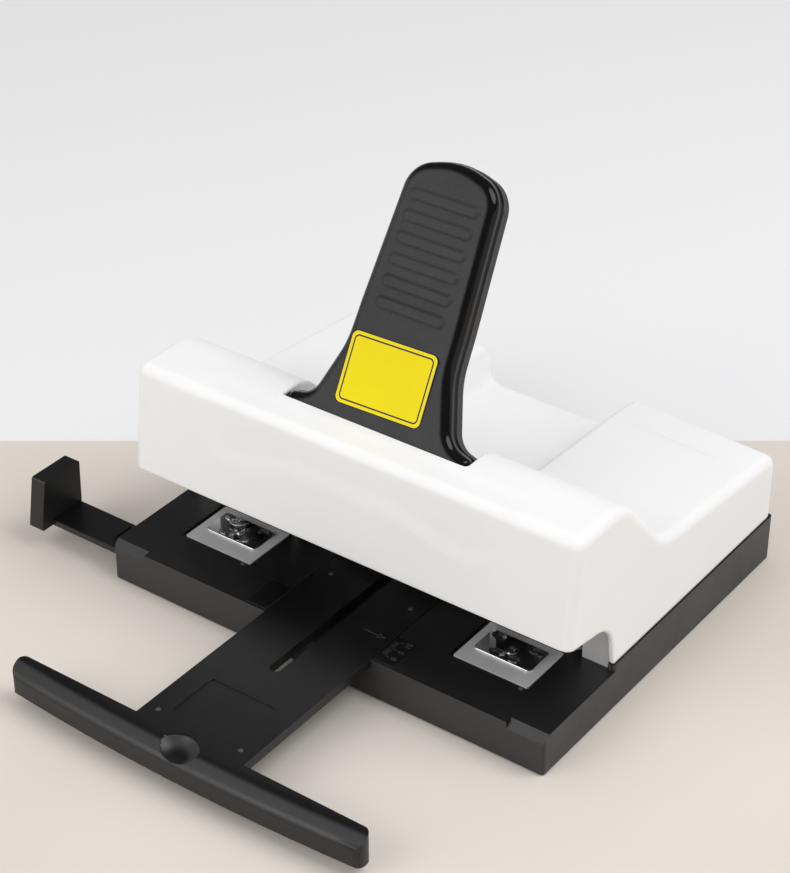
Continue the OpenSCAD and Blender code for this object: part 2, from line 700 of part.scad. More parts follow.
module magazine(sx) {
    at_rest() at_head(sx) difference() {
        box([-mag_w / 2, nose_front_y + nose_d, nose_low_z], [mag_w / 2, mag_end_y, nose_low_z + mag_h]);
        box([-mag_w / 2 + mag_sheet, nose_front_y + nose_d - 1, nose_low_z + mag_sheet],
            [mag_w / 2 - mag_sheet, mag_end_y + 1, nose_low_z + mag_h + 1]);
        translate([0, hinge_y, hinge_z]) rod_x(hinge_pin_r + run_fit, -mag_w, mag_w);
    }
}
module magazine_left() { color("#aeb1b4") magazine(-1); }
module magazine_right() { color("#aeb1b4") magazine(1); }

chute_d = 3.6;
module nose(sx) {
    at_rest() at_head(sx) difference() {
        slab(rect(-mag_w / 2, nose_front_y, mag_w / 2, nose_front_y + nose_d, 1), nose_low_z,
            nose_low_z + mag_h);
        // Chute of the driver and the staple
        box([-crown_w / 2 - slide_fit, staple_y - chute_d / 2, nose_low_z - 1],
            [crown_w / 2 + slide_fit, staple_y + chute_d / 2, nose_low_z + mag_h + 1]);
    }
}
module nose_left() { color("#b9bcbf") nose(-1); }
module nose_right() { color("#b9bcbf") nose(1); }

rail_bore_r = 2.8;
rail_low_z = nose_low_z + mag_sheet;
module staple_rail(sx) {
    at_rest() at_head(sx) difference() {
        box([-rail_w / 2, nose_front_y + nose_d, rail_low_z],
            [rail_w / 2, rail_end_y, rail_low_z + rail_h]);
        translate([0, 0, rail_low_z + rail_h / 2]) rod_y(rail_bore_r, nose_front_y + nose_d + 2,
            rail_end_y + 1);
    }
}
module staple_rail_left() { color("#a3a6a9") staple_rail(-1); }
module staple_rail_right() { color("#a3a6a9") staple_rail(1); }

module pusher_spring(sx) {
    at_rest() at_head(sx) translate([0, 0, rail_low_z + rail_h / 2]) difference() {
        rod_y(rail_bore_r - 0.1, nose_front_y + nose_d + 2, rail_end_y - 2);
        rod_y(rail_bore_r - 1, nose_front_y + nose_d + 1, rail_end_y - 1);
    }
}
module pusher_springs_left() { color("#c4c7ca") pusher_spring(-1); }
module pusher_springs_right() { color("#c4c7ca") pusher_spring(1); }

pusher_w = mag_w - 2 * mag_sheet - 1;
module pusher(sx) {
    at_rest() at_head(sx) difference() {
        box([-pusher_w / 2, pusher_front_y, rail_low_z + 0.5],
            [pusher_w / 2, pusher_front_y + pusher_len, rod_z + rod_r]);
        box([-rail_w / 2 - slide_fit, pusher_front_y - 1, rail_low_z],
            [rail_w / 2 + slide_fit, pusher_front_y + pusher_len + 1, rail_low_z + rail_h + slide_fit]);
        translate([0, 0, rod_z]) rod_y(rod_r, pusher_front_y + pusher_len - 6,
            pusher_front_y + pusher_len + 1);
    }
}
module pusher_left() { color("#3a3a3b") pusher(-1); }
module pusher_right() { color("#3a3a3b") pusher(1); }

knob_ribs = 4;
module pusher_rod(sx) {
    at_rest() at_head(sx) translate([0, 0, rod_z]) {
        rod_y(rod_r - 0.02, pusher_front_y + pusher_len - 6, knob_y + 2);
        difference() {
            translate([0, knob_y + knob_d / 2, 0]) along_y(knob_d)
                polygon(rounded(rect(-knob_w / 2, -knob_h / 2, knob_w / 2, knob_h / 2, 2.5)));
            // Finger grooves across the top of the knob
            for (i = [1:knob_ribs - 1])
                translate([0, knob_y + knob_d - i * 2.2, knob_h / 2 + 0.3]) rod_x(0.8, -knob_w, knob_w);
        }
    }
}
module pusher_rod_left() { color("#2f2f30") pusher_rod(-1); }
module pusher_rod_right() { color("#2f2f30") pusher_rod(1); }

// Springs: a round wire swept along a helix, ends squared off by the first and last ring
wire_sides = 6;
rings_per_turn = 8;
module coil(r, wire_r, turns, h) {
    steps = turns * rings_per_turn;
    rise = (h - 2 * wire_r) / steps;
    points = [for (i = [0:steps], k = [0:wire_sides - 1])
        let (a = 360 * i / rings_per_turn, b = 360 * k / wire_sides, d = r + wire_r * cos(b))
        [d * cos(a), d * sin(a), wire_r + rise * i + wire_r * sin(b)]];
    sides = [for (i = [0:steps - 1], k = [0:wire_sides - 1])
        let (p = i * wire_sides + k, q = i * wire_sides + (k + 1) % wire_sides)
        each [[p, p + wire_sides, q], [q, p + wire_sides, q + wire_sides]]];
    ends = [for (k = [1:wire_sides - 2])
        each [[0, k, k + 1], [steps * wire_sides, steps * wire_sides + k + 1, steps * wire_sides + k]]];
    echo(str("least gap between turns ", rise * rings_per_turn - 2 * wire_r));
    polyhedron(points, concat(sides, ends));
}

module return_spring(sx) {
    translate([sx * post_x, post_y, table_h + 0.1]) coil(spring_r, spring_wire / 2, spring_turns,
        bar_z - table_h - 0.2);
}
module return_spring_left() { color("#c4c7ca") return_spring(-1); }
module return_spring_right() { color("#c4c7ca") return_spring(1); }

lift_wire = 0.9;
lift_turns = 6;
lift_h = nose_low_z - well_z + (hinge_y - well_y) * sin(mag_tilt) - 1.2;
module lift_spring(sx) {
    translate([sx * head_x, well_y, well_z + 0.1]) coil(well_r - lift_wire / 2 - 0.4, lift_wire / 2,
        lift_turns, lift_h);
}
module lift_spring_left() { color("#c4c7ca") lift_spring(-1); }
module lift_spring_right() { color("#c4c7ca") lift_spring(1); }

// Press
module press_bar() {
    color("#85888b") difference() {
        union() {
            box([-post_x - lug_half, bar_front_y, bar_z], [post_x + lug_half, bar_back_y, bar_z + bar_h]);
            both_sides() {
                box([post_x - lug_half, bar_back_y - eps, bar_z],
                    [post_x + lug_half, post_y + lug_half, bar_z + bar_h]);
                box([cam_x + 0.5, bar_back_y - eps, bar_z],
                    [cam_x + cam_w - 0.5, pad_y + 4.5, bar_z + bar_h]);
                box([cam_x + 0.5, pad_y - 4.5, bar_z], [cam_x + cam_w - 0.5, pad_y + 4.5, pad_z]);
            }
        }
        both_sides() {
            translate([post_x, post_y, bar_z - 1]) cylinder(r = post_r + bush_t, h = bar_h + 2);
            box([head_x - crown_w / 2, staple_y - blade_t / 2 - 0.02, bar_z - 1],
                [head_x + crown_w / 2, staple_y + blade_t / 2 + 0.02, blade_root_z + 0.02]);
            for (dx = [-1, 1]) translate([head_x + dx * 3.6, 0, bar_z + bar_h / 2])
                rod_y(1.3, bar_front_y - 1, staple_y);
        }
    }
}

bush_t = 1.2;
module post_bushes() {
    color("#b08d4c") both_sides() translate([post_x, post_y, bar_z]) difference() {
        cylinder(r = post_r + bush_t - 0.02, h = bar_h);
        translate([0, 0, -1]) cylinder(r = post_r + run_fit, h = bar_h + 2);
    }
}

module driver(sx) {
    at_head(sx) box([-crown_w / 2 + 0.1, staple_y - blade_t / 2, blade_tip_z],
                    [crown_w / 2 - 0.1, staple_y + blade_t / 2, blade_root_z]);
}
module driver_left() { color("#cdd0d2") driver(-1); }
module driver_right() { color("#cdd0d2") driver(1); }

module driver_screws() {
    color("#b7babd") for (sx = [-1, 1], dx = [-1, 1])
        translate([sx * head_x + dx * 3.6, 0, bar_z + bar_h / 2]) {
            rod_y(2.6, bar_front_y - 1.8, bar_front_y);
            rod_y(1.28, bar_front_y - eps, staple_y - blade_t / 2);
        }
}

// Lever, drawn upright on its shaft and leaned back to its rest
module at_lever() { translate([0, shaft_y, shaft_h]) rotate([-lever_lean, 0, 0]) children(); }

lever_half = lever_t / 2;
hub_r = shaft_r + 3;
parting = 0.5;
foot_rise = (beam_top - shaft_h) / cos(lever_lean) - lever_half * tan(lever_lean) + 1.8;
neck_x = foot_w / 2 - 18.8;
flare_sweep = acos((neck_x + flare_r - foot_w / 2) / flare_r);
flare_c = [neck_x + flare_r, foot_rise + flare_r * sin(flare_sweep)];
foot_low = hub_r - 3;
shoulder_d = lever_len * 0.52;
lever_taper = 3.1;
crown_r = 34;
crown_over = 1.6;
tip_drop = 4.7;
tip_r = 13;
flare_steps = 8;
// Half of the lever's outline from the tip down, its flare swept as far as the angle named
function lever_side(grow, sweep) =
    concat([[0, lever_len + crown_over - grow, crown_r - grow],
            [lever_w / 2 - grow, lever_len - tip_drop - grow, tip_r - grow],
            [lever_w / 2 + lever_taper - grow, shoulder_d, 0], [neck_x - grow, flare_c.y, 0]],
           [for (i = [1:flare_steps])
               let (a = i * sweep / flare_steps)
               [flare_c.x - (flare_r + grow) * cos(a), flare_c.y - (flare_r + grow) * sin(a), 0]]);
function mirrored(pts) = [for (i = [len(pts) - 1:-1:1]) [-pts[i].x, pts[i].y, pts[i].z]];
function clockwise(pts) = [for (i = [len(pts) - 1:-1:0]) pts[i]];
lever_right = lever_side(0, flare_sweep);
lever_outline = clockwise(concat(lever_right, [[foot_w / 2, foot_low, 0], [-foot_w / 2, foot_low, 0]],
                                 mirrored(lever_right)));
// The grip face runs down into the slot, so only its two sides have a rim
grip_sweep = 78;
grip_right = lever_side(rim_w, grip_sweep);
grip_outline = clockwise(concat(grip_right, mirrored(grip_right)));

module lever_slice(outline, y0, y1) {
    translate([0, (y0 + y1) / 2, 0]) along_y(y1 - y0) polygon(rounded(outline));
}

apron_r = beam_top - cover_wall - shaft_h - 0.9;
apron_t = 2.4;
apron_from = 58;
apron_to = 118;
lever_screw_ds = [for (k = [0:2]) lever_len * 0.36 + k * lever_len * 0.24];
core_w = 22;
core_t = 3;
core_low = hub_r + 3;

module lever_front() {
    color("#17171a") at_lever() difference() {
        union() {
            lever_slice(lever_outline, -lever_half, parting);
            // Curved apron that fills the slot in front of the lever, with its two end webs
            difference() {
                intersection() {
                    rod_x(apron_r, -foot_w / 2, foot_w / 2);
                    along_x(foot_w) polygon([[0, 0], for (i = [0:4]) 2 * apron_r
                        * [cos(apron_from + (apron_to - apron_from) * i / 4 + lever_lean),
                            sin(apron_from + (apron_to - apron_from) * i / 4 + lever_lean)]]);
                }
                rod_x(apron_r - apron_t, -foot_w / 2 + apron_t, foot_w / 2 - apron_t);
                rod_x(hub_r + 0.3, -foot_w, foot_w);
                box([-foot_w, parting, -apron_r], [foot_w, apron_r, apron_r]);
            }
        }
        lever_slice(grip_outline, -lever_half - 1, -lever_half + grip_sunk + grip_t);
        rod_x(hub_r + 0.02, -foot_w, foot_w);
        for (d = lever_screw_ds) translate([0, 0, d])
            rod_y(screw_r, -lever_half + grip_sunk + grip_t + 1, parting + 1);
    }
}

grip_t = 1.6;
module lever_back() {
    color("#17171a") at_lever() difference() {
        union() {
            lever_slice(lever_outline, parting, lever_half);
            rod_x(hub_r, -foot_w / 2, foot_w / 2);
        }
        rod_x(shaft_r + 0.02, -foot_w, foot_w);
        box([-core_w / 2 - 0.1, parting - 1, core_low - 0.1],
            [core_w / 2 + 0.1, parting + core_t + 0.02, lever_len - 18]);
        for (d = lever_screw_ds) translate([0, 0, d]) {
            rod_y(screw_r + 0.1, parting, lever_half + 1);
            rod_y(screw_head_r, lever_half - screw_head_h, lever_half + 1);
        }
    }
}

module lever_core() {
    color("#9a9da0") at_lever() difference() {
        box([-core_w / 2, parting, core_low], [core_w / 2, parting + core_t, lever_len - 18.2]);
        for (d = lever_screw_ds) translate([0, 0, d]) rod_y(screw_r + 0.1, 0, lever_half);
    }
}

rib_top = lever_len - 15.7;
rib_low = rib_top - (rib_count - 1) * rib_pitch - rib_w / 2;

module grip_face() {
    face_y = -lever_half + grip_sunk;
    color("#47484a") at_lever() union() {
        lever_slice(inset(grip_outline, 0.05), face_y, face_y + grip_t);
        for (i = [0:rib_count - 1]) {
            translate([0, 0, rib_top - i * rib_pitch])
                lever_slice(rect(-rib_len / 2, -rib_w / 2, rib_len / 2, rib_w / 2, rib_w / 2 - 0.01),
                    face_y - 0.9, face_y + eps);
        }
    }
}

label_w = 40.4;
label_t = 0.2;
// The label fills the bare face between the slot and the ribs
label_low = foot_rise + 3.3;
label_top = rib_low - 9.8;
module label_sticker() {
    color("#f2df12") at_lever()
        lever_slice(rect(-label_w / 2, label_low, label_w / 2, label_top, 3),
            -lever_half + grip_sunk - label_t,
                    -lever_half + grip_sunk);
}

module lever_screws() {
    color("#a9acaf") at_lever() for (d = lever_screw_ds) translate([0, 0, d]) {
        rod_y(screw_head_r - 0.1, lever_half - screw_head_h, lever_half - 0.1);
        rod_y(screw_r - 0.02, -lever_half + grip_sunk + grip_t + 1.5, lever_half - screw_head_h + eps);
    }
}

shaft_end = cam_x + cam_w + 3;
clip_x = cam_x + cam_w + 0.3;
clip_t = 1;
module lever_shaft() {
    color("#c4c7ca") translate([0, shaft_y, shaft_h]) difference() {
        rod_x(shaft_r, -shaft_end, shaft_end);
        both_sides() difference() {
            rod_x(shaft_r + 1, clip_x, clip_x + clip_t + 0.1);
            rod_x(shaft_r - 0.8, clip_x - 1, clip_x + clip_t + 1);
        }
    }
}

module shaft_clips() {
    color("#55585b") translate([0, shaft_y, shaft_h]) both_sides() difference() {
        rod_x(shaft_r + 2, clip_x + 0.05, clip_x + clip_t + 0.05);
        rod_x(shaft_r - 0.78, clip_x - 1, clip_x + clip_t + 1);
        box([clip_x - 1, -2, -shaft_r - 4], [clip_x + clip_t + 1, 2, 0]);
    }
}

module shaft_bushes() {
    color("#b08d4c") both_sides() translate([0, shaft_y, shaft_h]) difference() {
        rod_x(shaft_r + 1.98, plate_x - 0.8, plate_x + plate_t + 0.8);
        rod_x(shaft_r + run_fit, plate_x - 2, plate_x + plate_t + 2);
    }
}

// Involute cam: the point in contact stays straight above the pad and sinks evenly with the swing
cam_steps = 14;
function turned(p, a) = [p.x * cos(a) - p.y * sin(a), p.x * sin(a) + p.y * cos(a)];
function involute(roll) = turned([cam_r, -cam_r * roll], (roll - cam_lead) * 180 / PI);
cam_curve = [for (i = [0:cam_steps])
    involute(cam_lead * 0.5 + (swing_rad + cam_lead * 0.6) * i / cam_steps)];
cam_lobe = concat([[0, 0]], cam_curve, [[0.72 * cam_curve[cam_steps].x, hub_r + 4], [0, hub_r - 0.5]]);

module cam() {
    translate([0, shaft_y, shaft_h]) difference() {
        union() {
            rod_x(hub_r - 0.5, cam_x, cam_x + cam_w);
            translate([cam_x + cam_w / 2, 0, 0]) along_x(cam_w) polygon(cam_lobe);
        }
        rod_x(shaft_r + 0.02, cam_x - 1, cam_x + cam_w + 1);
    }
}
module cam_left() { color("#777a7d") mirror([1, 0, 0]) cam(); }
module cam_right() { color("#777a7d") cam(); }

// Depth gauge
tbar_front_y = tbar_back_y - tbar_d - tbar_bow;
tbar_bow_r = (tbar_len * tbar_len / 4 + tbar_bow * tbar_bow) / (2 * tbar_bow);
tbar_high_z = tbar_low_z + tbar_h;
// Section of the crossbar, from the centre of its bow: a tall front, then a soft fall to the top
tbar_section = [[tbar_bow_r - 30, tbar_low_z, 0], [tbar_bow_r, tbar_low_z, 1.2],
                [tbar_bow_r, tbar_high_z - 4, 4], [tbar_bow_r - 6, tbar_high_z, 7],
                [tbar_bow_r - 30, tbar_high_z, 0]];

module depth_gauge() {
    color("#262627") difference() {
        union() {
            slab([[-gauge_x, tbar_back_y - 2, 0], [gauge_x, tbar_back_y - 2, 0],
                [gauge_x, gauge_end_y, 2],
                  [-gauge_x, gauge_end_y, 2]], table_h - gauge_t, table_h);
            intersection() {
                translate([0, tbar_front_y + tbar_bow_r, 0])
                    rotate_extrude($fn = 720) polygon(rounded(tbar_section));
                slab([[0, tbar_front_y - tbar_bow, 0], [tbar_len / 2, tbar_back_y - tbar_d, 4],
                      [tbar_len / 2, tbar_back_y, 3.5], [-tbar_len / 2, tbar_back_y, 3.5],
                      [-tbar_len / 2, tbar_back_y - tbar_d, 4]], 0, 2 * table_h);
            }
            // Paper stop: two tabs either side of the slot
            both_sides() box([guide_head_r + 1.5, stop_y, table_h - eps],
                [gauge_x - 4, stop_y + 2.5, table_h + stop_h]);
        }
        slab([[-gauge_slot_w / 2, slot_start_y, gauge_slot_w / 2 - 0.01],
            [gauge_slot_w / 2, slot_start_y, gauge_slot_w / 2 - 0.01],
              [gauge_slot_w / 2, slot_end_y, gauge_slot_w / 2 - 0.01],
                  [-gauge_slot_w / 2, slot_end_y, gauge_slot_w / 2 - 0.01]],
             table_h - gauge_t - 1, table_h + 1);
        // Bare panel near the crossbar
        slab(rect(-15.7, tbar_back_y + 8.3, 15.7, tbar_back_y + 32.3, 2), table_h - 0.5, table_h + 1);
        // Thumb dish in the crossbar
        translate([0, tbar_back_y - tbar_d, tbar_high_z + 7.5]) sphere(r = 12);
    }
}

guide_head_r = 4.5;
module gauge_guide_screw() {
    color("#b7babd") translate([0, guide_pin_y, 0]) {
        translate([0, 0, gauge_floor_z - 2.4]) cylinder(r = screw_r - 0.02, h = 2.4 + eps);
        translate([0, 0, gauge_floor_z]) cylinder(r = guide_pin_r, h = gauge_t + 0.2 + eps);
        translate([0, 0, gauge_floor_z + gauge_t + 0.2]) cylinder(r = guide_head_r, h = 1.8);
    }
}

// Side gauge
side_stop_x = -side_x - side_out;
module side_gauge() {
    color("#262627") union() {
        box([side_stop_x - 1, side_bar_y - side_bar_w / 2, side_bar_z],
            [side_bar_end_x, side_bar_y + side_bar_w / 2, side_bar_z + side_bar_t]);
        translate([side_stop_x - side_stop_t / 2, 0, 0]) along_x(side_stop_t)
            polygon(rounded([[side_bar_y - side_bar_w / 2 - 6.5, side_bar_z, 0.8],
                [side_bar_y + side_bar_w / 2 + 0.6, side_bar_z, 0.8],
                             [side_bar_y + side_bar_w / 2 + 1.2, side_bar_z + side_stop_h, 1.2],
                             [side_bar_y - side_bar_w / 2 - 2.6, side_bar_z + side_stop_h, 1.2]]));
        // Low stop rib across the bar
        box([-side_x - 7.5, side_rib_y[0], side_bar_z + side_bar_t - eps],
            [-side_x - 6.5, side_rib_y[1], side_bar_z + side_bar_t + side_rib_h]);
    }
}

base_pan();
bottom_plate();
rubber_sole();
base_screws();
frame_plate_left();
frame_plate_right();
frame_spacers();
frame_screws();
side_frame_left();
side_frame_right();
guide_posts();
top_cover();
cover_screws();
anvil_seat_left();
anvil_seat_right();
anvil_rivets();
anvil_left();
anvil_right();
hinge_bracket_left();
hinge_bracket_right();
hinge_pins();
shaft_bushes();
depth_scale();
blank_plate();
gauge_guide_screw();
lever_front();
lever_back();
grip_face();
lever_core();
lever_screws();
label_sticker();
lever_shaft();
cam_left();
cam_right();
shaft_clips();
press_bar();
post_bushes();
driver_left();
driver_right();
driver_screws();
return_spring_left();
return_spring_right();
magazine_left();
magazine_right();
nose_left();
nose_right();
staple_rail_left();
staple_rail_right();
pusher_springs_left();
pusher_springs_right();
lift_spring_left();
lift_spring_right();
pusher_left();
pusher_right();
pusher_rod_left();
pusher_rod_right();
depth_gauge();
side_gauge();
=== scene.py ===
# Double-headed desk stapler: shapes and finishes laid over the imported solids.
import math
from functools import partial
from types import SimpleNamespace

import bmesh
import bpy
import numpy as np
from mathutils import Matrix, Vector


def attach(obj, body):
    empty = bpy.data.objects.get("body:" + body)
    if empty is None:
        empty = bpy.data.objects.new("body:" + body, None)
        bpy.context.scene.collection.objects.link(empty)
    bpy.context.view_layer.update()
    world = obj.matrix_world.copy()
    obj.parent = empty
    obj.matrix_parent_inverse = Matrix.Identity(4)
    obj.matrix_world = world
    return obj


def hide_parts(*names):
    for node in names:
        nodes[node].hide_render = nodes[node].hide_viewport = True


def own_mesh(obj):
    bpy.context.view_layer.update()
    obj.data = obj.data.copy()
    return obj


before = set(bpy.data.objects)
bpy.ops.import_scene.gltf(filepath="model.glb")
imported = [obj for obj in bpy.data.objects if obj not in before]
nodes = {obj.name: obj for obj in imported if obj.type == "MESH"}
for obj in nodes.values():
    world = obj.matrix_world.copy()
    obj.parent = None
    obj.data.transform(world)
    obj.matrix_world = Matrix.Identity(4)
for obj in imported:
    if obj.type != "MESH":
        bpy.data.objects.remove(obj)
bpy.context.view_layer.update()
scene = bpy.context.scene
scene.view_settings.view_transform = "Standard"
mm = 0.001
# Left and right: word in a piece's name, ends of a node's and a body's name, side of X
hands = (("Left", "_left", "_l", -1), ("Right", "_right", "_r", 1))
fourWays = ((-1, -1), (1, -1), (1, 1), (-1, 1))
print("stage: frame loaded,", len(nodes), "nodes")


# Helpers for objects and meshes
def addObject(name, data):
    made = bpy.data.objects.new(name, data)
    scene.collection.objects.link(made)
    return made


def aim(item, eye, target):
    item.location = eye
    item.rotation_euler = (Vector(target) - Vector(eye)).to_track_quat("-Z", "Y").to_euler()


def meshOf(name, shape):
    made = bpy.data.meshes.new(name)
    shape.to_mesh(made)
    shape.free()
    return made


# Plain mesh of what an object's modifiers or its text give; the object itself goes
def settled(holder, name):
    made = bpy.data.meshes.new_from_object(holder.evaluated_get(bpy.context.evaluated_depsgraph_get()))
    made.name = name
    bpy.data.objects.remove(holder)
    return made


def thinFlats(shape, angle):
    bmesh.ops.dissolve_limit(shape, angle_limit=math.radians(angle), verts=shape.verts, edges=shape.edges,
                             use_dissolve_boundaries=False)


# Camera, fitted to the straight edges of the base in the photograph (mm)
photoView = {"eye": (455.30, -656.67, 581.92), "target": (-39.57, 19.11, 40.0),
             "focalPixels": 2346.1, "framePixels": (790, 873), "sensor": 36, "clip": (0.02, 20)}


def makeCamera(view):
    data = bpy.data.cameras.new("photoCamera")
    data.sensor_fit, data.sensor_height = "VERTICAL", view["sensor"]
    data.lens = view["sensor"] * view["focalPixels"] / view["framePixels"][1]
    data.clip_start, data.clip_end = view["clip"]
    scene.camera = addObject("photoCamera", data)
    aim(scene.camera, Vector(view["eye"]) * mm, Vector(view["target"]) * mm)


makeCamera(photoView)
print("stage: camera set")


# Node helpers
def feed(tree, socket, value):
    if hasattr(value, "is_output"):
        tree.links.new(value, socket)
    else:
        socket.default_value = value


def fill(tree, node, **values):
    for label, value in values.items():
        feed(tree, node.inputs[label.replace("_", " ")], value)
    return node


def mathNode(tree, kind, *values):
    node = tree.nodes.new("ShaderNodeMath")
    node.operation = kind
    for socket, value in zip(node.inputs, values):
        feed(tree, socket, value)
    return node.outputs[0]


def vectorNode(tree, kind, first, second):
    node = tree.nodes.new("ShaderNodeVectorMath")
    node.operation = kind
    feed(tree, node.inputs[0], first)
    feed(tree, node.inputs[1], second)
    return node.outputs


def splitNode(tree, vector):
    node = tree.nodes.new("ShaderNodeSeparateXYZ")
    feed(tree, node.inputs[0], vector)
    return node.outputs


def rampNode(tree, value, low, high, toLow=0.0, toHigh=1.0, smooth=True):
    node = tree.nodes.new("ShaderNodeMapRange")
    node.interpolation_type = "SMOOTHSTEP" if smooth else "LINEAR"
    fill(tree, node, Value=value, From_Min=low, From_Max=high, To_Min=toLow, To_Max=toHigh)
    return node.outputs["Result"]


def noiseNode(tree, vector, size, detail=2.0, roughness=0.5):
    node = tree.nodes.new("ShaderNodeTexNoise")
    fill(tree, node, Vector=vector, Scale=1 / size, Detail=detail, Roughness=roughness)
    return node.outputs["Fac"]


def bumpNode(tree, height, distance):
    node = tree.nodes.new("ShaderNodeBump")
    return fill(tree, node, Height=height, Distance=distance, Strength=1.0).outputs[0]


def mixColours(tree, factor, first, second):
    node = tree.nodes.new("ShaderNodeMix")
    node.data_type = "RGBA"
    feed(tree, node.inputs["Factor"], factor)
    for socket, colour in ((node.inputs[6], first), (node.inputs[7], second)):
        feed(tree, socket, colour if hasattr(colour, "is_output") else (*colour, 1))
    return node.outputs[2]


def newGroup(name, inputs, outputs, kind="ShaderNodeTree"):
    tree = bpy.data.node_groups.new(name, kind)
    for side, sockets in (("INPUT", inputs), ("OUTPUT", outputs)):
        for label, socketKind in sockets.items():
            tree.interface.new_socket(label, in_out=side, socket_type="NodeSocket" + socketKind)
    return tree, tree.nodes.new("NodeGroupInput").outputs, tree.nodes.new("NodeGroupOutput").inputs


def placeGroup(tree, group, **values):
    node = tree.nodes.new("ShaderNodeGroup")
    node.node_tree = group
    return fill(tree, node, **values).outputs


# Surface groups: fine marks for the bump, slow drifts for gloss and tone; a noise is size, detail, roughness
surfaceGives = {"Height": "Float", "Rough": "Float", "Drift": "Float"}
surfaceFades = {"rough": (0.3, 0.7), "drift": (0.25, 0.75)}
grainNoise = {"speck": (1.0, 3.0, 0.6), "drift": (0.045, 3.0, 0.55), "rub": (0.009, 4.0, 0.65), "share": 0.6}
markNoise = {"lines": (0.0009, 3.0, 0.6), "drift": (0.018, 3.0, 0.6), "share": 0.55}


def closeSurface(tree, given, gives, height, drift, first, share, second):
    times = partial(mathNode, tree, "MULTIPLY")
    blend = mathNode(tree, "ADD", times(first, share), times(second, 1 - share))
    feed(tree, gives["Height"], height)
    rough = rampNode(tree, blend, *surfaceFades["rough"], given["Rough low"], given["Rough high"])
    feed(tree, gives["Rough"], rough)
    feed(tree, gives["Drift"], rampNode(tree, drift, *surfaceFades["drift"]))
    return tree


# Spark texture of a moulded part
def makeMouldedGrain(noise):
    inputs = {"Place": "Vector", "Grain": "Float", "Rough low": "Float", "Rough high": "Float"}
    tree, given, gives = newGroup("mouldedGrain", inputs, surfaceGives)
    place = given["Place"]
    scaled = vectorNode(tree, "MULTIPLY", place, mathNode(tree, "DIVIDE", 1.0, given["Grain"]))[0]
    speck = noiseNode(tree, scaled, *noise["speck"])
    drift, rub = noiseNode(tree, place, *noise["drift"]), noiseNode(tree, place, *noise["rub"])
    return closeSurface(tree, given, gives, speck, drift, drift, noise["share"], rub)


# Fine lines left by rolling or grinding, run along one axis
def makeBrushedMarks(noise):
    inputs = {"Place": "Vector", "Stretch": "Vector", "Rough low": "Float", "Rough high": "Float"}
    tree, given, gives = newGroup("brushedMarks", inputs, surfaceGives)
    drawn = vectorNode(tree, "MULTIPLY", given["Place"], given["Stretch"])[0]
    lines = noiseNode(tree, drawn, *noise["lines"])
    drift = noiseNode(tree, given["Place"], *noise["drift"])
    return closeSurface(tree, given, gives, lines, drift, lines, noise["share"], drift)


# A straight moulded-in line across Y, mirrored to both halves
def makeMouldedLine():
    labels = ("Across", "Along", "Height", "At", "From", "To", "Half width", "Above")
    tree, given, gives = newGroup("mouldedLine", dict.fromkeys(labels, "Float"), {"Mask": "Float"})
    calc = partial(mathNode, tree)
    off = calc("ABSOLUTE", calc("SUBTRACT", given["Across"], given["At"]))
    near = rampNode(tree, off, given["Half width"], 0.0)
    after = calc("GREATER_THAN", given["Along"], given["From"])
    before = calc("LESS_THAN", given["Along"], given["To"])
    up = calc("GREATER_THAN", given["Height"], given["Above"])
    run = calc("MULTIPLY", calc("MULTIPLY", after, before), up)
    feed(tree, gives["Mask"], calc("MULTIPLY", near, run))
    return tree


# A line along a rounded rectangle on the piece's own UV map, sizes in metres
def makeRoundedFrame():
    inputs = {"UV": "Vector", "Size": "Vector", "Inset": "Float", "Corner": "Float", "Half line": "Float"}
    tree, given, gives = newGroup("roundedFrame", inputs, {"Line": "Float"})
    calc = partial(mathNode, tree)
    place, size, past = splitNode(tree, given["UV"]), splitNode(tree, given["Size"]), []
    for axis in (0, 1):
        reach = calc("MULTIPLY", calc("ABSOLUTE", calc("SUBTRACT", place[axis], 0.5)), size[axis])
        half = calc("SUBTRACT", calc("MULTIPLY", size[axis], 0.5), given["Inset"])
        past.append(calc("SUBTRACT", reach, calc("SUBTRACT", half, given["Corner"])))
    squares = [calc("POWER", calc("MAXIMUM", value, 0.0), 2.0) for value in past]
    inner = calc("MINIMUM", calc("MAXIMUM", *past), 0.0)
    gap = calc("SUBTRACT", calc("ADD", calc("SQRT", calc("ADD", *squares)), inner), given["Corner"])
    soft = calc("MULTIPLY", given["Half line"], 1.5)
    feed(tree, gives["Line"], rampNode(tree, calc("ABSOLUTE", gap), soft, given["Half line"]))
    return tree


mouldedGrain, brushedMarks = makeMouldedGrain(grainNoise), makeBrushedMarks(markNoise)
mouldedLine, roundedFrame = makeMouldedLine(), makeRoundedFrame()


def startMaterial(name):
    material = bpy.data.materials.new(name)
    material.use_nodes = True
    tree = material.node_tree
    tree.nodes.clear()
    out = tree.nodes.new("ShaderNodeOutputMaterial")
    shader = tree.nodes.new("ShaderNodeBsdfPrincipled")
    feed(tree, out.inputs[0], shader.outputs[0])
    return material, tree, shader


def placeOf(tree, kind="Object"):
    return tree.nodes.new("ShaderNodeTexCoord").outputs[kind]


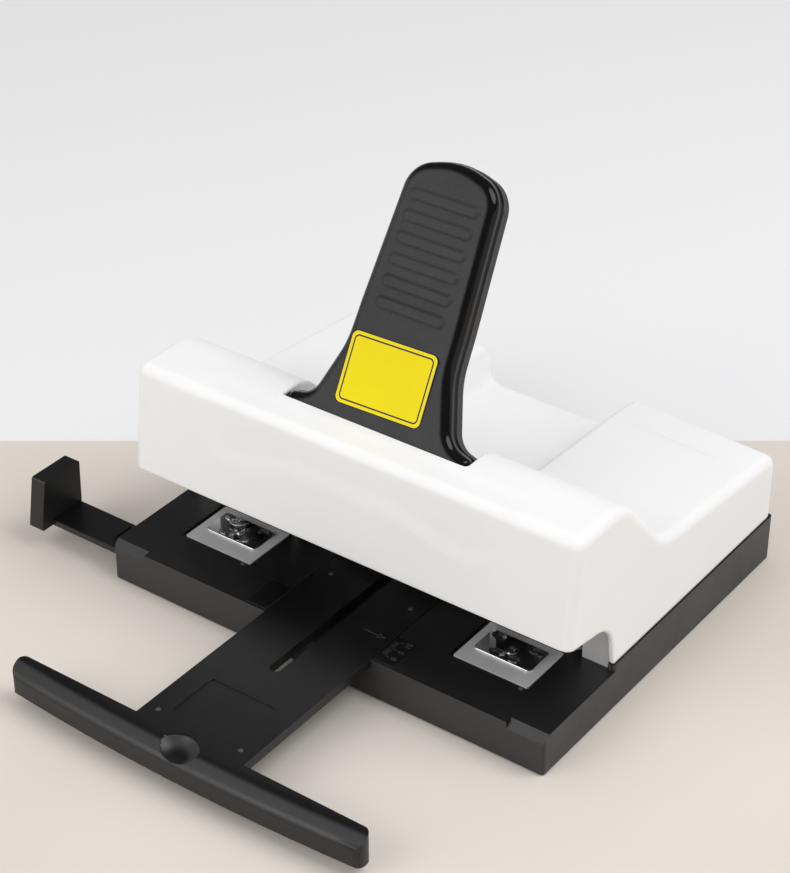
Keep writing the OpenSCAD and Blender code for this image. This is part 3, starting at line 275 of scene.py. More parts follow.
# Moulded finishes: two near tones, gloss range, grain size and depth (m), a painted light on steep walls and
# a painted highlight on bevels and rounded ridges
plastics = {
    # wall: lighter tone of steep faces, a painted light; edge: lighter tone of bevels and rounded ridges, a
    # painted highlight
    "baseBlack": {"tones": ((0.006, 0.006, 0.0064), (0.009, 0.009, 0.0094)), "rough": (0.34, 0.45),
                  "grain": 0.00035, "depth": 0.000022, "specular": 0.4, "wall": (0.030, 0.030, 0.031),
                  "edge": (0.042, 0.042, 0.043)},
    "gaugeBlack": {"tones": ((0.003, 0.003, 0.0033), (0.0046, 0.0046, 0.005)), "rough": (0.32, 0.42),
                   "grain": 0.0003, "depth": 0.000018, "specular": 0.4, "wall": (0.012, 0.012, 0.0125),
                   "edge": (0.034, 0.034, 0.035)},
    "raisedMarks": {"tones": ((0.050, 0.050, 0.051), (0.066, 0.066, 0.067)), "rough": (0.34, 0.46),
                    "grain": 0.0003, "depth": 0.000012, "specular": 0.4},
    "pusherBlack": {"tones": ((0.012, 0.012, 0.0125), (0.018, 0.018, 0.0185)), "rough": (0.36, 0.5),
                    "grain": 0.0003, "depth": 0.00002, "specular": 0.4},
    "soleRubber": {"tones": ((0.011, 0.011, 0.011), (0.02, 0.02, 0.02)), "rough": (0.7, 0.85),
                   "grain": 0.0007, "depth": 0.00007, "specular": 0.25},
}
# How level a face is where the painted light of the walls and the painted highlight of the bevels and ridges
# come in
levelFades = {"wall": (0.85, 0.25), "bevel": (0.97, 0.84), "steep": (0.2, 0.5)}
# Metals: two near tones, gloss range, direction of the marks and their depth
metals = {
    "satinSteel": {"tones": ((0.56, 0.56, 0.57), (0.66, 0.66, 0.67)), "rough": (0.26, 0.40),
                   "stretch": (0.06, 1, 1), "depth": 0.000010},
    "seatSteel": {"tones": ((0.70, 0.70, 0.705), (0.78, 0.78, 0.785)), "rough": (0.40, 0.52),
                  "stretch": (0.06, 1, 1), "depth": 0.000010, "metallic": 0.4},
    "frameSteel": {"tones": ((0.36, 0.36, 0.37), (0.46, 0.46, 0.47)), "rough": (0.30, 0.44),
                   "stretch": (1, 1, 0.06), "depth": 0.000012},
    "brightSteel": {"tones": ((0.62, 0.62, 0.63), (0.72, 0.72, 0.73)), "rough": (0.16, 0.28),
                    "stretch": (1, 1, 1), "depth": 0.000006},
    "anvilChrome": {"tones": ((0.80, 0.80, 0.81), (0.87, 0.87, 0.88)), "rough": (0.03, 0.075),
                    "stretch": (1, 1, 1), "depth": 0.0000015},
    "bushBrass": {"tones": ((0.56, 0.37, 0.13), (0.66, 0.46, 0.18)), "rough": (0.22, 0.36),
                  "stretch": (1, 1, 0.2), "depth": 0.000008},
}


def grainOf(tree, look):
    return placeGroup(tree, mouldedGrain, Place=placeOf(tree), Grain=look["grain"],
                      Rough_low=look["rough"][0], Rough_high=look["rough"][1])


def makePlastic(name, look):
    material, tree, shader = startMaterial(name)
    grain = grainOf(tree, look)
    tone = mixColours(tree, grain["Drift"], *look["tones"])
    if "wall" in look:
        level = mathNode(tree, "ABSOLUTE", splitNode(tree, placeOf(tree, "Normal"))[2])
        wall, bevel, steep = (rampNode(tree, level, *levelFades[part]) for part in ("wall", "bevel", "steep"))
        # Steep faces take a lighter tone: painted light, as if a lamp lit the walls more than the tops
        tone = mixColours(tree, wall, tone, look["wall"])
        # Faces between level and steep, that is bevels, rounded ridges and the thumb dish, take a lighter
        # tone: a painted highlight
        tone = mixColours(tree, mathNode(tree, "MULTIPLY", bevel, steep), tone, look["edge"])
    fill(tree, shader, Base_Color=tone, Roughness=grain["Rough"], Specular_IOR_Level=look["specular"],
         Normal=bumpNode(tree, grain["Height"], look["depth"]))
    return material


def makeMetal(name, look):
    material, tree, shader = startMaterial(name)
    marks = placeGroup(tree, brushedMarks, Place=placeOf(tree), Stretch=look["stretch"],
                       Rough_low=look["rough"][0], Rough_high=look["rough"][1])
    fill(tree, shader, Base_Color=mixColours(tree, marks["Drift"], *look["tones"]), Roughness=marks["Rough"],
         Metallic=look.get("metallic", 1.0), Normal=bumpNode(tree, marks["Height"], look["depth"]))
    return material


finishes = {name: makePlastic(name, look) for name, look in plastics.items()}
finishes.update({name: makeMetal(name, look) for name, look in metals.items()})

# White cover, with the fine line across each wing's rear, sunk by the bump and darkened by painted shade
coverLook = {"tones": ((0.845, 0.845, 0.85), (0.865, 0.865, 0.868)), "rough": (0.34, 0.44), "grain": 0.0005,
             "lineY": 0.065, "lineFrom": 0.050, "lineTo": 0.0895, "lineHalf": 0.0005, "lineAbove": 0.05,
             "lineShadeTone": (0.45, 0.45, 0.46), "lineShadeShare": 0.1, "lineSink": 0.4, "grainShare": 0.03,
             "depth": 0.0003, "specular": 0.45}


def makeCoverWhite(look):
    material, tree, shader = startMaterial("coverWhite")
    calc, grain = partial(mathNode, tree), grainOf(tree, look)
    x, y, z = splitNode(tree, placeOf(tree))
    line = placeGroup(tree, mouldedLine, Across=y, Along=calc("ABSOLUTE", x), Height=z, At=look["lineY"],
                      From=look["lineFrom"], To=look["lineTo"], Half_width=look["lineHalf"],
                      Above=look["lineAbove"])["Mask"]
    body = mixColours(tree, grain["Drift"], *look["tones"])
    height = calc("SUBTRACT", calc("MULTIPLY", grain["Height"], look["grainShare"]),
                  calc("MULTIPLY", line, look["lineSink"]))
    # Along the line the colour is pulled a little towards grey: painted shade in the groove
    fill(tree, shader, Roughness=grain["Rough"], Specular_IOR_Level=look["specular"],
         Base_Color=mixColours(tree, calc("MULTIPLY", line, look["lineShadeShare"]), body, look["lineShadeTone"]),
         Normal=bumpNode(tree, height, look["depth"]))
    return material


# Lever: gloss black edge that turns to a grained grey on the face and the back
leverLook = {"gloss": ((0.0025, 0.0025, 0.0028), (0.0035, 0.0035, 0.0038)), "glossGrain": 0.004,
             "glossRough": (0.10, 0.17), "grip": ((0.029, 0.029, 0.030), (0.040, 0.040, 0.041)),
             "rough": (0.42, 0.54), "grain": 0.0012, "depth": 0.0003, "specular": 0.3}


def makeLeverFinish(look):
    material, tree, shader = startMaterial("leverFinish")
    attribute = tree.nodes.new("ShaderNodeAttribute")
    attribute.attribute_name = "gripMask"
    mask, grip = attribute.outputs["Fac"], grainOf(tree, look)
    gloss = grainOf(tree, {"grain": look["glossGrain"], "rough": look["glossRough"]})
    tone = mixColours(tree, mask, mixColours(tree, gloss["Drift"], *look["gloss"]),
                      mixColours(tree, grip["Drift"], *look["grip"]))
    fill(tree, shader, Base_Color=tone, Specular_IOR_Level=look["specular"],
         Roughness=rampNode(tree, mask, 0.0, 1.0, gloss["Rough"], grip["Rough"], False),
         Normal=bumpNode(tree, mathNode(tree, "MULTIPLY", grip["Height"], mask), look["depth"]))
    return material


# Bare yellow label: two dark frame lines, nothing written on it
labelLook = {"yellow": ((0.80, 0.65, 0.002), (0.85, 0.70, 0.003)), "ink": (0.012, 0.012, 0.055),
             "size": (0.0404, 0.0294, 0.0), "lines": ((0.0001, 0.0029, 0.00016), (0.0019, 0.0018, 0.00024)),
             "rough": (0.30, 0.40), "grain": 0.0012, "depth": 0.000006, "specular": 0.1}


def makeLabelYellow(look):
    material, tree, shader = startMaterial("labelYellow")
    uv, grain = placeOf(tree, "UV"), grainOf(tree, look)
    ruled = partial(placeGroup, tree, roundedFrame, UV=uv, Size=look["size"])
    lines = [ruled(Inset=inset, Corner=corner, Half_line=half)["Line"]
             for inset, corner, half in look["lines"]]
    body = mixColours(tree, grain["Drift"], *look["yellow"])
    fill(tree, shader, Base_Color=mixColours(tree, mathNode(tree, "MAXIMUM", *lines), body, look["ink"]),
         Roughness=grain["Rough"], Specular_IOR_Level=look["specular"],
         Normal=bumpNode(tree, grain["Height"], look["depth"]))
    return material


finishes["coverWhite"] = makeCoverWhite(coverLook)
finishes["leverFinish"] = makeLeverFinish(leverLook)
finishes["labelYellow"] = makeLabelYellow(labelLook)
print("stage: finishes made,", len(finishes))


# Shapes as distance fields in mm: true lines and arcs, rounded joins, one mesher for all
def smoothStep(low, high, value):
    t = np.clip((value - low) / (high - low), 0.0, 1.0)
    return t * t * (3 - 2 * t)


def roundMax(a, b, r):
    return np.minimum(-r, np.maximum(a, b)) + np.hypot(np.maximum(a + r, 0), np.maximum(b + r, 0))


def roundMin(a, b, r):
    return -roundMax(-a, -b, r)


# Signed distance to an anticlockwise outline whose corners are (x, y, radius)
def outlineField(corners):
    points = np.array([c[:2] for c in corners], float)
    count = len(points)
    joins, arcs = [], []
    for i in range(count):
        p, a, b = points[i], points[i - 1], points[(i + 1) % count]
        u, v = (a - p) / np.linalg.norm(a - p), (b - p) / np.linalg.norm(b - p)
        bend = u[0] * v[1] - u[1] * v[0]
        if abs(bend) < 1e-4:
            joins.append((p, p))
            continue
        half = math.acos(max(-1, min(1, float(u @ v)))) / 2
        r = max(corners[i][2], 0.05)
        middle = (u + v) / np.linalg.norm(u + v)
        joins.append((p + u * r / math.tan(half), p + v * r / math.tan(half)))
        arcs.append((p + middle * r / math.sin(half), r, -middle, math.sin(half), bend < 0))
    runs = [(joins[i][1], joins[(i + 1) % count][0]) for i in range(count)]

    def field(x, y):
        shape = np.broadcast(x, y).shape
        best, near = np.full(shape, 1e9), np.full(shape, 1e9)
        for a, b in runs:
            ex, ey = b - a
            length2 = ex * ex + ey * ey
            if length2 < 1e-12:
                continue
            px, py = x - a[0], y - a[1]
            t = np.clip((px * ex + py * ey) / length2, 0, 1)
            gap = np.hypot(px - t * ex, py - t * ey)
            signed = np.where(ex * py - ey * px > 0, -gap, gap)
            closer = gap < near
            best, near = np.where(closer, signed, best), np.where(closer, gap, near)
        for c, r, out, share, convex in arcs:
            px, py = x - c[0], y - c[1]
            reach = np.hypot(px, py)
            signed = reach - r if convex else r - reach
            gap = np.abs(signed)
            closer = (px * out[0] + py * out[1] >= reach * share) & (gap < near)
            best, near = np.where(closer, signed, best), np.where(closer, gap, near)
        return best

    return field


# Mesh of a field's zero surface: one point in each cell that it crosses
def netMesh(field, low, high, cell):
    axes = [np.arange(a, b + cell, cell) for a, b in zip(low, high)]
    grid = np.broadcast_to(field(axes[0][:, None, None], axes[1][None, :, None], axes[2][None, None, :]),
                           [len(a) for a in axes])
    inside = grid < 0
    cells = [n - 1 for n in grid.shape]

    def corner(values, dx, dy, dz):
        return values[dx:cells[0] + dx, dy:cells[1] + dy, dz:cells[2] + dz]

    held = sum(corner(inside, *way).astype(np.int8) for way in np.ndindex(2, 2, 2))
    active = (held > 0) & (held < 8)
    index = np.full(cells, -1)
    index[active] = np.arange(active.sum())
    total, hits = np.zeros((int(active.sum()), 3)), np.zeros(int(active.sum()))
    for axis, first, second in np.ndindex(3, 2, 2):
        start = np.roll((0, first, second), axis)
        a, b = corner(grid, *start)[active], corner(grid, *(start + np.eye(3, dtype=int)[axis]))[active]
        cut = (a < 0) != (b < 0)
        total[:, axis] += np.where(cut, a / np.where(cut, a - b, 1), 0)
        total += cut[:, None] * start
        hits += cut
    where = np.argwhere(active)
    points = np.array([a[0] for a in axes]) + cell * (where + total / hits[:, None])
    quads = []
    for axis in range(3):
        order = np.roll((0, 1, 2), -axis)
        turned, numbers = inside.transpose(order), index.transpose(order)
        flip = turned[:-1, 1:-1, 1:-1] != turned[1:, 1:-1, 1:-1]
        i, j, k = np.nonzero(flip)
        ring = ((0, 0), (1, 0), (1, 1), (0, 1))
        four = np.stack([numbers[i, j + dj, k + dk] for dj, dk in ring], 1)
        leaves = turned[:-1, 1:-1, 1:-1][flip]
        quads.append(np.where(leaves[:, None], four, four[:, ::-1]))
    return points, np.concatenate(quads)


def fieldSlope(field, points, step=0.03):
    total, mean = np.zeros_like(points), np.zeros(len(points))
    for way in np.array([(1, -1, -1), (-1, -1, 1), (-1, 1, -1), (1, 1, 1)], float):
        moved = points + way * step
        value = field(moved[:, 0], moved[:, 1], moved[:, 2])
        total += way * value[:, None] / (4 * step)
        mean += value / 4
    return mean, total


def newPiece(name, mesh, body, slotName, material, *stoodFor):
    piece = addObject(name, mesh)
    if material:
        mesh.materials.clear()
        mesh.materials.append(finishes[material])
    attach(piece, body)
    if stoodFor:
        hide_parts(*stoodFor)
    return piece


# Field to mesh: settle the points on the surface, thin the flats, take normals from the field
settling = {"rounds": 5, "step": 0.4, "reach": 0.8, "leastSlope": 0.04}


def fieldMesh(name, field, low, high, cell, place=None, flat=0.25):
    points, quads = netMesh(field, low, high, cell)
    origin, step, reach = points.copy(), settling["step"] * cell, settling["reach"] * cell
    for _ in range(settling["rounds"]):
        value, slope = fieldSlope(field, points)
        size = np.maximum((slope ** 2).sum(1), settling["leastSlope"])
        points = points - slope * np.clip(value / size, -step, step)[:, None]
        points = origin + np.clip(points - origin, -reach, reach)
    mesh = bpy.data.meshes.new(name)
    mesh.from_pydata(points.tolist(), [], quads.tolist())
    shape = bmesh.new()
    shape.from_mesh(mesh)
    thinFlats(shape, flat)
    shape.to_mesh(mesh)
    shape.free()
    kept = np.empty(len(mesh.vertices) * 3)
    mesh.vertices.foreach_get("co", kept)
    kept = kept.reshape(-1, 3)
    slope = fieldSlope(field, kept)[1]
    slope /= np.maximum(np.linalg.norm(slope, axis=1), 1e-9)[:, None]
    place = place or Matrix.Identity(4)
    turn, shift = np.array(place.to_3x3()), np.array(place.translation)
    mesh.vertices.foreach_set("co", ((kept @ turn.T + shift) * mm).ravel())
    mesh.shade_smooth()
    mesh.normals_split_custom_set_from_vertices((slope @ turn.T).tolist())
    mesh.update()
    return mesh, kept


# White cover
cover = {"halfW": 106.0, "front": (-72.0, 47.5), "topFront": (-67.0, 94.5), "brow": (-34.0, 94.5),
         "slopeEnd": (-7.0, 63.5), "back": 87.0, "backTop": 54.5, "seam": 21.4, "archFoot": -38.1,
         "archCorner": (-41.9, 42.6), "archR": 14.0, "wall": 2.5, "edgeR": 4.2, "rimR": 3.6, "cutR": 0.9,
         "slotFront": -51.15, "slotLean": 0.589, "slotLevel": 92.0, "slotLow": 60.0, "mouth": 44.1,
         "scoopFront": -27.93, "scoopHalf": 37.0, "scoopTop": 60.0, "scoopRear": 34.5,
         "panel": ((24, 27.5, 40), (46, 21.5, 20), (64, 20.5, 9), (70, 29, 6), (77.5, 53, 0)),
         "panelDepth": 0.6, "panelFade": (2.0, -7.0), "frontFade": ((-50, -58), (30, 45)),
         "wingFall": 2.6, "fallFade": (-12, 6), "cheekGap": 6.5, "cheekLow": 64.6, "cheekTop": 94.0,
         "knobX": 67.7, "knobHalf": 12.0, "knobTop": 38.4, "knobDeep": 6.5, "bossX": 99.4,
         "bossY": (-24.3, 79.4), "bossR": 3.6, "bossLow": 18.2, "bossTop": 44.0, "skinLap": 0.6,
         "box": ((-109, -78, 14), (109, 91, 98)), "cell": 1.05}


def coverField(c):
    c, past, sky = SimpleNamespace(**c), c["back"] + 30, 125
    lean = (c.topFront[0] - c.front[0]) / (c.topFront[1] - c.front[1])
    profile = outlineField([(c.front[0] - lean * c.front[1], 0, 0), (c.back, 0, 0), (c.back, c.backTop, 6.5),
                            (*c.slopeEnd, 12), (*c.brow, 20), (*c.topFront, 5.0)])
    fall = (c.archCorner[1] - c.front[1]) / (c.archCorner[0] - c.front[0])
    keep = outlineField([(c.archFoot, c.seam, 0.3), (130, c.seam, 0), (130, 140, 0), (-110, 140, 0),
                         (-110, c.front[1] + fall * (-110 - c.front[0]), 0), (*c.archCorner, c.archR)])
    scoopPlan = outlineField([(-30, c.slotFront, 0), (c.mouth, c.slotFront, 2),
                              (c.mouth, c.scoopFront + 6, 14), (c.scoopHalf + 2.5, c.slopeEnd[0] + 12, 30),
                              (c.scoopHalf, c.back - 20, 40), (c.scoopHalf, past, 0), (-30, past, 0)])
    scoopFloor = outlineField([(c.scoopFront, sky, 0), (c.scoopFront, c.scoopTop, 0.6),
                               (c.scoopFront + 5, c.scoopTop - 8, 10),
                               (c.slopeEnd[0] + 18, c.scoopRear + 7, 60),
                               (past, c.scoopRear - 2.8, 0), (past, sky, 0)])
    scoopTrough = outlineField([(-30, sky, 0), (-30, c.scoopRear - 0.6, 0), (0, c.scoopRear - 0.6, 120),
                                (c.scoopHalf - 2, c.scoopRear + 1, 9), (c.scoopHalf + 0.4, c.backTop - 9, 5),
                                (c.mouth + 1, c.backTop, 3), (c.mouth + 1, sky, 0)])
    panel = outlineField([(-30, c.panel[0][1], 0), *c.panel, (-30, c.panel[-1][1], 0)])
    slot = outlineField([(-30, c.slotFront, 0), (c.mouth, c.slotFront, 2), (c.mouth, c.scoopFront + 3, 0),
                         (-30, c.scoopFront + 3, 0)])

    def field(x, y, z):
        side = np.abs(x)
        up = (z - c.front[1]) / math.cos(math.atan(lean))
        onFront = smoothStep(*c.frontFade[0], y) * smoothStep(*c.frontFade[1], z)
        sunk = c.panelDepth * smoothStep(*c.panelFade, panel(side, up)) * onFront
        outward = np.clip((side - c.scoopHalf) / (c.halfW - c.scoopHalf), 0, 1)
        fallen = c.wingFall * outward * smoothStep(*c.fallFade, y)
        skin = roundMax(profile(y, z + fallen) + sunk, side - c.halfW, c.edgeR)
        scoop = roundMax(roundMax(scoopPlan(side, y), scoopFloor(y, z), 3), scoopTrough(side, z), 5)
        skin = roundMax(skin, -scoop, c.rimR)
        shell = roundMax(skin, -(skin + c.wall), 0.6)
        leant = y - c.slotLean * np.clip(z - c.slotLevel, -2, 4)
        shell = roundMax(shell, -np.maximum(slot(side, leant), c.slotLow - z), 0.5)
        shell = roundMax(shell, keep(y, z), c.cutR)
        window = np.maximum(np.abs(side - c.knobX) - c.knobHalf, z - c.knobTop)
        shell = roundMax(shell, -np.maximum(window, c.back - c.knobDeep - y), c.cutR)
        along = np.minimum(np.abs(y - c.bossY[0]), np.abs(y - c.bossY[1]))
        boss = np.hypot(side - c.bossX, along) - c.bossR
        boss = roundMax(boss, np.maximum(c.bossLow - z, z - c.bossTop), 0.5)
        shell = roundMin(shell, np.maximum(boss, skin + c.skinLap), 1.2)
        cheek = np.maximum(np.abs(side - c.mouth - c.wall / 2) - c.wall / 2,
                           np.maximum(c.slotFront + c.cheekGap - y, y - c.scoopFront))
        cheek = np.maximum(cheek, np.maximum(c.cheekLow - z, z - c.cheekTop))
        return np.minimum(shell, np.maximum(cheek, skin + c.skinLap))

    return field


mesh, _ = fieldMesh("coverShell", coverField(cover), *cover["box"], cover["cell"])
newPiece("coverShell", mesh, "base", "white_shell", "coverWhite", "top_cover")
print("stage: cover,", len(mesh.polygons), "faces")

# Lever, drawn upright on its shaft: x across, y through its thickness, z up from the shaft
lever = {"shaft": (-54.5294, 72.0), "lean": 30.5, "crown": (0.0, 129.8, 34.0), "head": (21.2, 123.5, 13.0),
         "shoulder": (24.4, 67.3, 90.0), "neck": (25.0, 50.0, 40.0), "flare": (33.0, 26.3, 10.0),
         "ear": (43.2, 23.8, 2.5), "half": 7.0, "low": 5.0, "frontR": 4.4, "rearR": 2.6, "grip": (2.6, 4.0),
         "gripFront": (-3.5, -4.5), "gripBack": (0.3, 0.9), "dome": 0.5, "domeFade": (14, 3),
         "ribTop": 112.5, "ribPitch": 8.7, "ribs": 6, "ribLen": 32.0, "ribW": 4.6, "ribRise": 0.85,
         "ridge": 0.3, "ridgeAt": 0.4, "ridgeW": 0.6, "band": 0.2, "bandAt": -1.7, "bandW": 1.1,
         "hubR": 8.0, "shaftR": 5.0, "shaftPlay": 0.05, "apronR": 19.1, "apronT": 2.4, "apronRise": 0.42,
         "screws": (46.15, 76.92, 107.69), "pit": (3.1, 5.7),
         "box": ((-47.5, -21, -9), (47.5, 9.5, 132)), "cell": 0.6}
leverPlace = Matrix.Translation((0, *lever["shaft"])) @ Matrix.Rotation(-math.radians(lever["lean"]), 4, "X")


def leverOutline(v):
    rise = [v[part] for part in ("ear", "flare", "neck", "shoulder", "head", "crown")]
    return outlineField([(-20, v["low"], 0), (v["ear"][0], v["low"], 1.0), *rise,
                         (-v["head"][0], v["head"][1], 0)])


def leverField(v):
    outline, v = leverOutline(v), SimpleNamespace(**v)

    def field(x, y, z):
        side = np.abs(x)
        edge = outline(side, z)
        dome = v.dome * smoothStep(*v.domeFade, -edge)
        row = np.clip(np.round((v.ribTop - z) / v.ribPitch), 0, v.ribs - 1)
        rib = np.hypot(np.maximum(side - (v.ribLen - v.ribW) / 2, 0), z - (v.ribTop - row * v.ribPitch))
        raised = v.ribRise * smoothStep(v.ribW / 2 + 0.5, v.ribW / 2 - 0.9, rib)
        bead = v.ridge * np.exp(-((y - v.ridgeAt) / v.ridgeW) ** 2)
        bead = bead - v.band * np.exp(-((y - v.bandAt) / v.bandW) ** 2)
        body = roundMax(edge - bead, y - v.half, v.rearR)
        body = roundMax(body, -y - v.half + dome - raised, v.frontR)
        reach = np.hypot(y, z)
        hub = roundMax(reach - v.hubR, side - v.ear[0], 0.6)
        ahead = np.maximum(-(z + v.apronRise * y), y - v.ridgeAt)
        apron = roundMax(np.abs(reach - v.apronR + v.apronT / 2) - v.apronT / 2,
                         np.maximum(side - v.ear[0], ahead), 0.6)
        web = np.maximum(np.maximum(reach - v.apronR + 0.3, ahead),
                         np.abs(side - v.ear[0] + v.apronT / 2) - v.apronT / 2)
        whole = roundMin(np.minimum(body, np.minimum(apron, web)), hub, 0.8)
        seat = np.min([np.hypot(x, z - d) for d in v.screws], axis=0)
        pit = np.maximum(seat - v.pit[0], v.pit[1] - y)
        return np.maximum(roundMax(whole, -pit, 0.3), v.shaftR + v.shaftPlay - reach)

    return field


mesh, local = fieldMesh("leverShell", leverField(lever), *lever["box"], lever["cell"], leverPlace, 0.2)
x, y, z = local.T
grip = smoothStep(*lever["grip"], -leverOutline(lever)(np.abs(x), z)) * smoothStep(*lever["gripFront"], y)
grip = np.maximum(grip, smoothStep(*lever["gripBack"], y))
mesh.attributes.new("gripMask", "FLOAT", "POINT").data.foreach_set("value", grip)
newPiece("leverShell", mesh, "lever", "gloss_black", "leverFinish", "lever_front", "lever_back", "grip_face")
print("stage: lever,", len(mesh.polygons), "faces")

# Label on the lever's face
label = {"half": 20.2, "low": 27.1, "top": 56.5, "corner": 3.0, "face": -7.0, "thick": 0.16, "sunk": 0.8,
         "arcSteps": 8, "shift": -1.0, "turn": 1.6}


def makeLabel(b):
    b, ring = SimpleNamespace(**b), []
    middle, tall = (b.low + b.top) / 2, b.top - b.low
    for sx, sz, start in ((1, -1, -90), (1, 1, 0), (-1, 1, 90), (-1, -1, 180)):
        for i in range(b.arcSteps + 1):
            a = math.radians(start + 90 * i / b.arcSteps)
            ring.append((sx * (b.half - b.corner) + b.corner * math.cos(a),
                         middle + sz * (tall / 2 - b.corner) + b.corner * math.sin(a)))
    shape = bmesh.new()
    uv = shape.loops.layers.uv.new("labelMap")
    front = [shape.verts.new((x, b.face - b.thick, z)) for x, z in ring]
    back = [shape.verts.new((x, b.face + b.sunk, z)) for x, z in ring]
    shape.faces.new(front)
    shape.faces.new(back[::-1])
    for i in range(len(ring)):
        shape.faces.new((front[i], front[i - 1], back[i - 1], back[i]))
    for face in shape.faces:
        for loop in face.loops:
            x, _, z = loop.vert.co
            loop[uv].uv = (0.5 + x / (2 * b.half), (z - b.low) / tall)
    centre = Matrix.Translation((0, 0, middle))
    turn = centre @ Matrix.Rotation(-math.radians(b.turn), 4, "Y") @ centre.inverted()
    shape.transform(Matrix.Scale(mm, 4) @ leverPlace @ Matrix.Translation((b.shift, 0, 0)) @ turn)
    bmesh.ops.recalc_face_normals(shape, faces=shape.faces)
    return meshOf("leverLabel", shape)


newPiece("leverLabel", makeLabel(label), "lever", "yellow_label", "labelYellow", "label_sticker")

# Anvils: polished plates with dished clinch pockets
anvil = {"x": 67.7, "y": -50.95, "low": 18.4, "top": 19.2, "halfW": 13.4, "halfD": 7.25, "corner": 1.8,
         "edgeR": 0.3, "pockets": ((8.6, 4.558), (3.7, -4.558)), "pocket": (3.5, 2.15), "sink": 0.52,
         "dish": (1.12, 0.25), "bore": 2.55, "boreR": 0.25,
         "box": ((-14, -8, 17.8), (14, 8, 20.2)), "cell": 0.26}


def anvilField(a):
    a = SimpleNamespace(**a)
    plan = outlineField([(sx * a.halfW, sy * a.halfD, a.corner) for sx, sy in fourWays])

    def field(x, y, z):
        side, sunk = np.abs(x), 0
        for px, py in a.pockets:
            reach = np.hypot((side - px) / a.pocket[0], (y - py) / a.pocket[1])
            sunk = sunk + a.sink * smoothStep(*a.dish, reach)
        plate = roundMax(plan(x, y), z - a.top + sunk, a.edgeR)
        return roundMax(np.maximum(plate, a.low - z), a.bore - np.hypot(x, y), a.boreR)

    return field


for hand, word, letter, sign in hands:
    place = Matrix.Translation((sign * anvil["x"], anvil["y"], 0))
    mesh, _ = fieldMesh("anvil" + hand, anvilField(anvil), *anvil["box"], anvil["cell"], place, 0.3)
    newPiece("anvil" + hand, mesh, "anvil" + letter, "mirror_chrome", "anvilChrome", "anvil" + word)
print("stage: anvils")

# Softened copy of a solid: merged, thinned, its long sharp edges rounded (m, degrees)
softening = {"merge": 2e-6, "flat": 0.4, "sharp": 28, "segments": 3, "crease": 38}


def softCopy(name, nodeName, width, least, s):
    shape = bmesh.new()
    shape.from_mesh(nodes[nodeName].data)
    bmesh.ops.remove_doubles(shape, verts=shape.verts, dist=s["merge"])
    thinFlats(shape, s["flat"])
    edges = [e for e in shape.edges if len(e.link_faces) == 2 and e.calc_length() > least * mm
             and e.calc_face_angle(0) > math.radians(s["sharp"])]
    bmesh.ops.bevel(shape, geom=edges, offset=width * mm, offset_type="OFFSET", segments=s["segments"],
                    profile=0.5, affect="EDGES", clamp_overlap=True, loop_slide=True)
    made = meshOf(name, shape)
    made.shade_smooth()
    made.set_sharp_from_angle(angle=math.radians(s["crease"]))
    holder = addObject(name + "Holder", made)
    holder.modifiers.new("weigh", "WEIGHTED_NORMAL").keep_sharp = True
    return settled(holder, name)


# Solids that keep their shape: node, body, width of the rounding and shortest edge taken (mm), slot, finish
softened = {
    "basePan": ("base_pan", "base", 0.6, 4.0, "black_shell", "baseBlack"),
    "depthGauge": ("depth_gauge", "depth_gauge", 0.45, 2.0, "black_shell", "gaugeBlack"),
    "sideGauge": ("side_gauge", "side_gauge", 0.45, 1.0, "black_shell", "gaugeBlack"),
    "anvilSeatLeft": ("anvil_seat_left", "base", 0.25, 1.0, "satin_steel", "seatSteel"),
    "anvilSeatRight": ("anvil_seat_right", "base", 0.25, 1.0, "satin_steel", "seatSteel"),
    "marginScale": ("depth_scale", "base", 0.2, 1.0, "black_shell", "gaugeBlack"),
    "barePlate": ("blank_plate", "base", 0.2, 1.0, "black_shell", "gaugeBlack"),
}
for name, (node, body, width, least, slotName, finish) in softened.items():
    newPiece(name, softCopy(name, node, width, least, softening), body, slotName, finish, node)
print("stage: softened solids,", len(softened))


# Geometry Nodes: each tree sets its part on every point, realised and with its material
def newTree(name, inputs):
    inputs = {"Geometry": "Geometry", **inputs, "Material": "Material"}
    return newGroup(name, inputs, {"Geometry": "Geometry"}, "GeometryNodeTree")


def geoNode(tree, kind, **sockets):
    return fill(tree, tree.nodes.new("GeometryNode" + kind), **sockets).outputs[0]


def joinNode(tree, *parts):
    node = tree.nodes.new("GeometryNodeJoinGeometry")
    for part in parts:
        feed(tree, node.inputs[0], part)
    return node.outputs[0]


def threeNode(tree, **parts):
    return fill(tree, tree.nodes.new("ShaderNodeCombineXYZ"), **parts).outputs[0]


def liftNode(tree, part, amount):
    return geoNode(tree, "Transform", Geometry=part, Translation=threeNode(tree, Z=amount))


def closeTree(tree, given, gives, part, smooth=True):
    turn = {"Rotation": given["Rotation"]} if "Rotation" in given else {}
    placed = geoNode(tree, "InstanceOnPoints", Points=given["Geometry"], Instance=part, **turn)
    real = geoNode(tree, "RealizeInstances", Geometry=placed)
    shaded = geoNode(tree, "SetShadeSmooth", Geometry=real, Shade_Smooth=smooth)
    feed(tree, gives["Geometry"], geoNode(tree, "SetMaterial", Geometry=shaded, Material=given["Material"]))
    return tree


# Runs a tree over some points (mm) and returns the plain mesh
def treeMesh(name, tree, spots, finish, values):
    host = bpy.data.meshes.new(name + "Points")
    host.from_pydata([tuple(v * mm for v in spot) for spot in spots], [], [])
    holder = addObject(name + "Holder", host)
    modifier = holder.modifiers.new("build", "NODES")
    modifier.node_group = tree
    values = {**values, "Material": finishes[finish]}
    for item in tree.interface.items_tree:
        if item.in_out == "INPUT" and item.name in values:
            modifier[item.identifier] = values[item.name]
    holder.update_tag()
    return settled(holder, name)


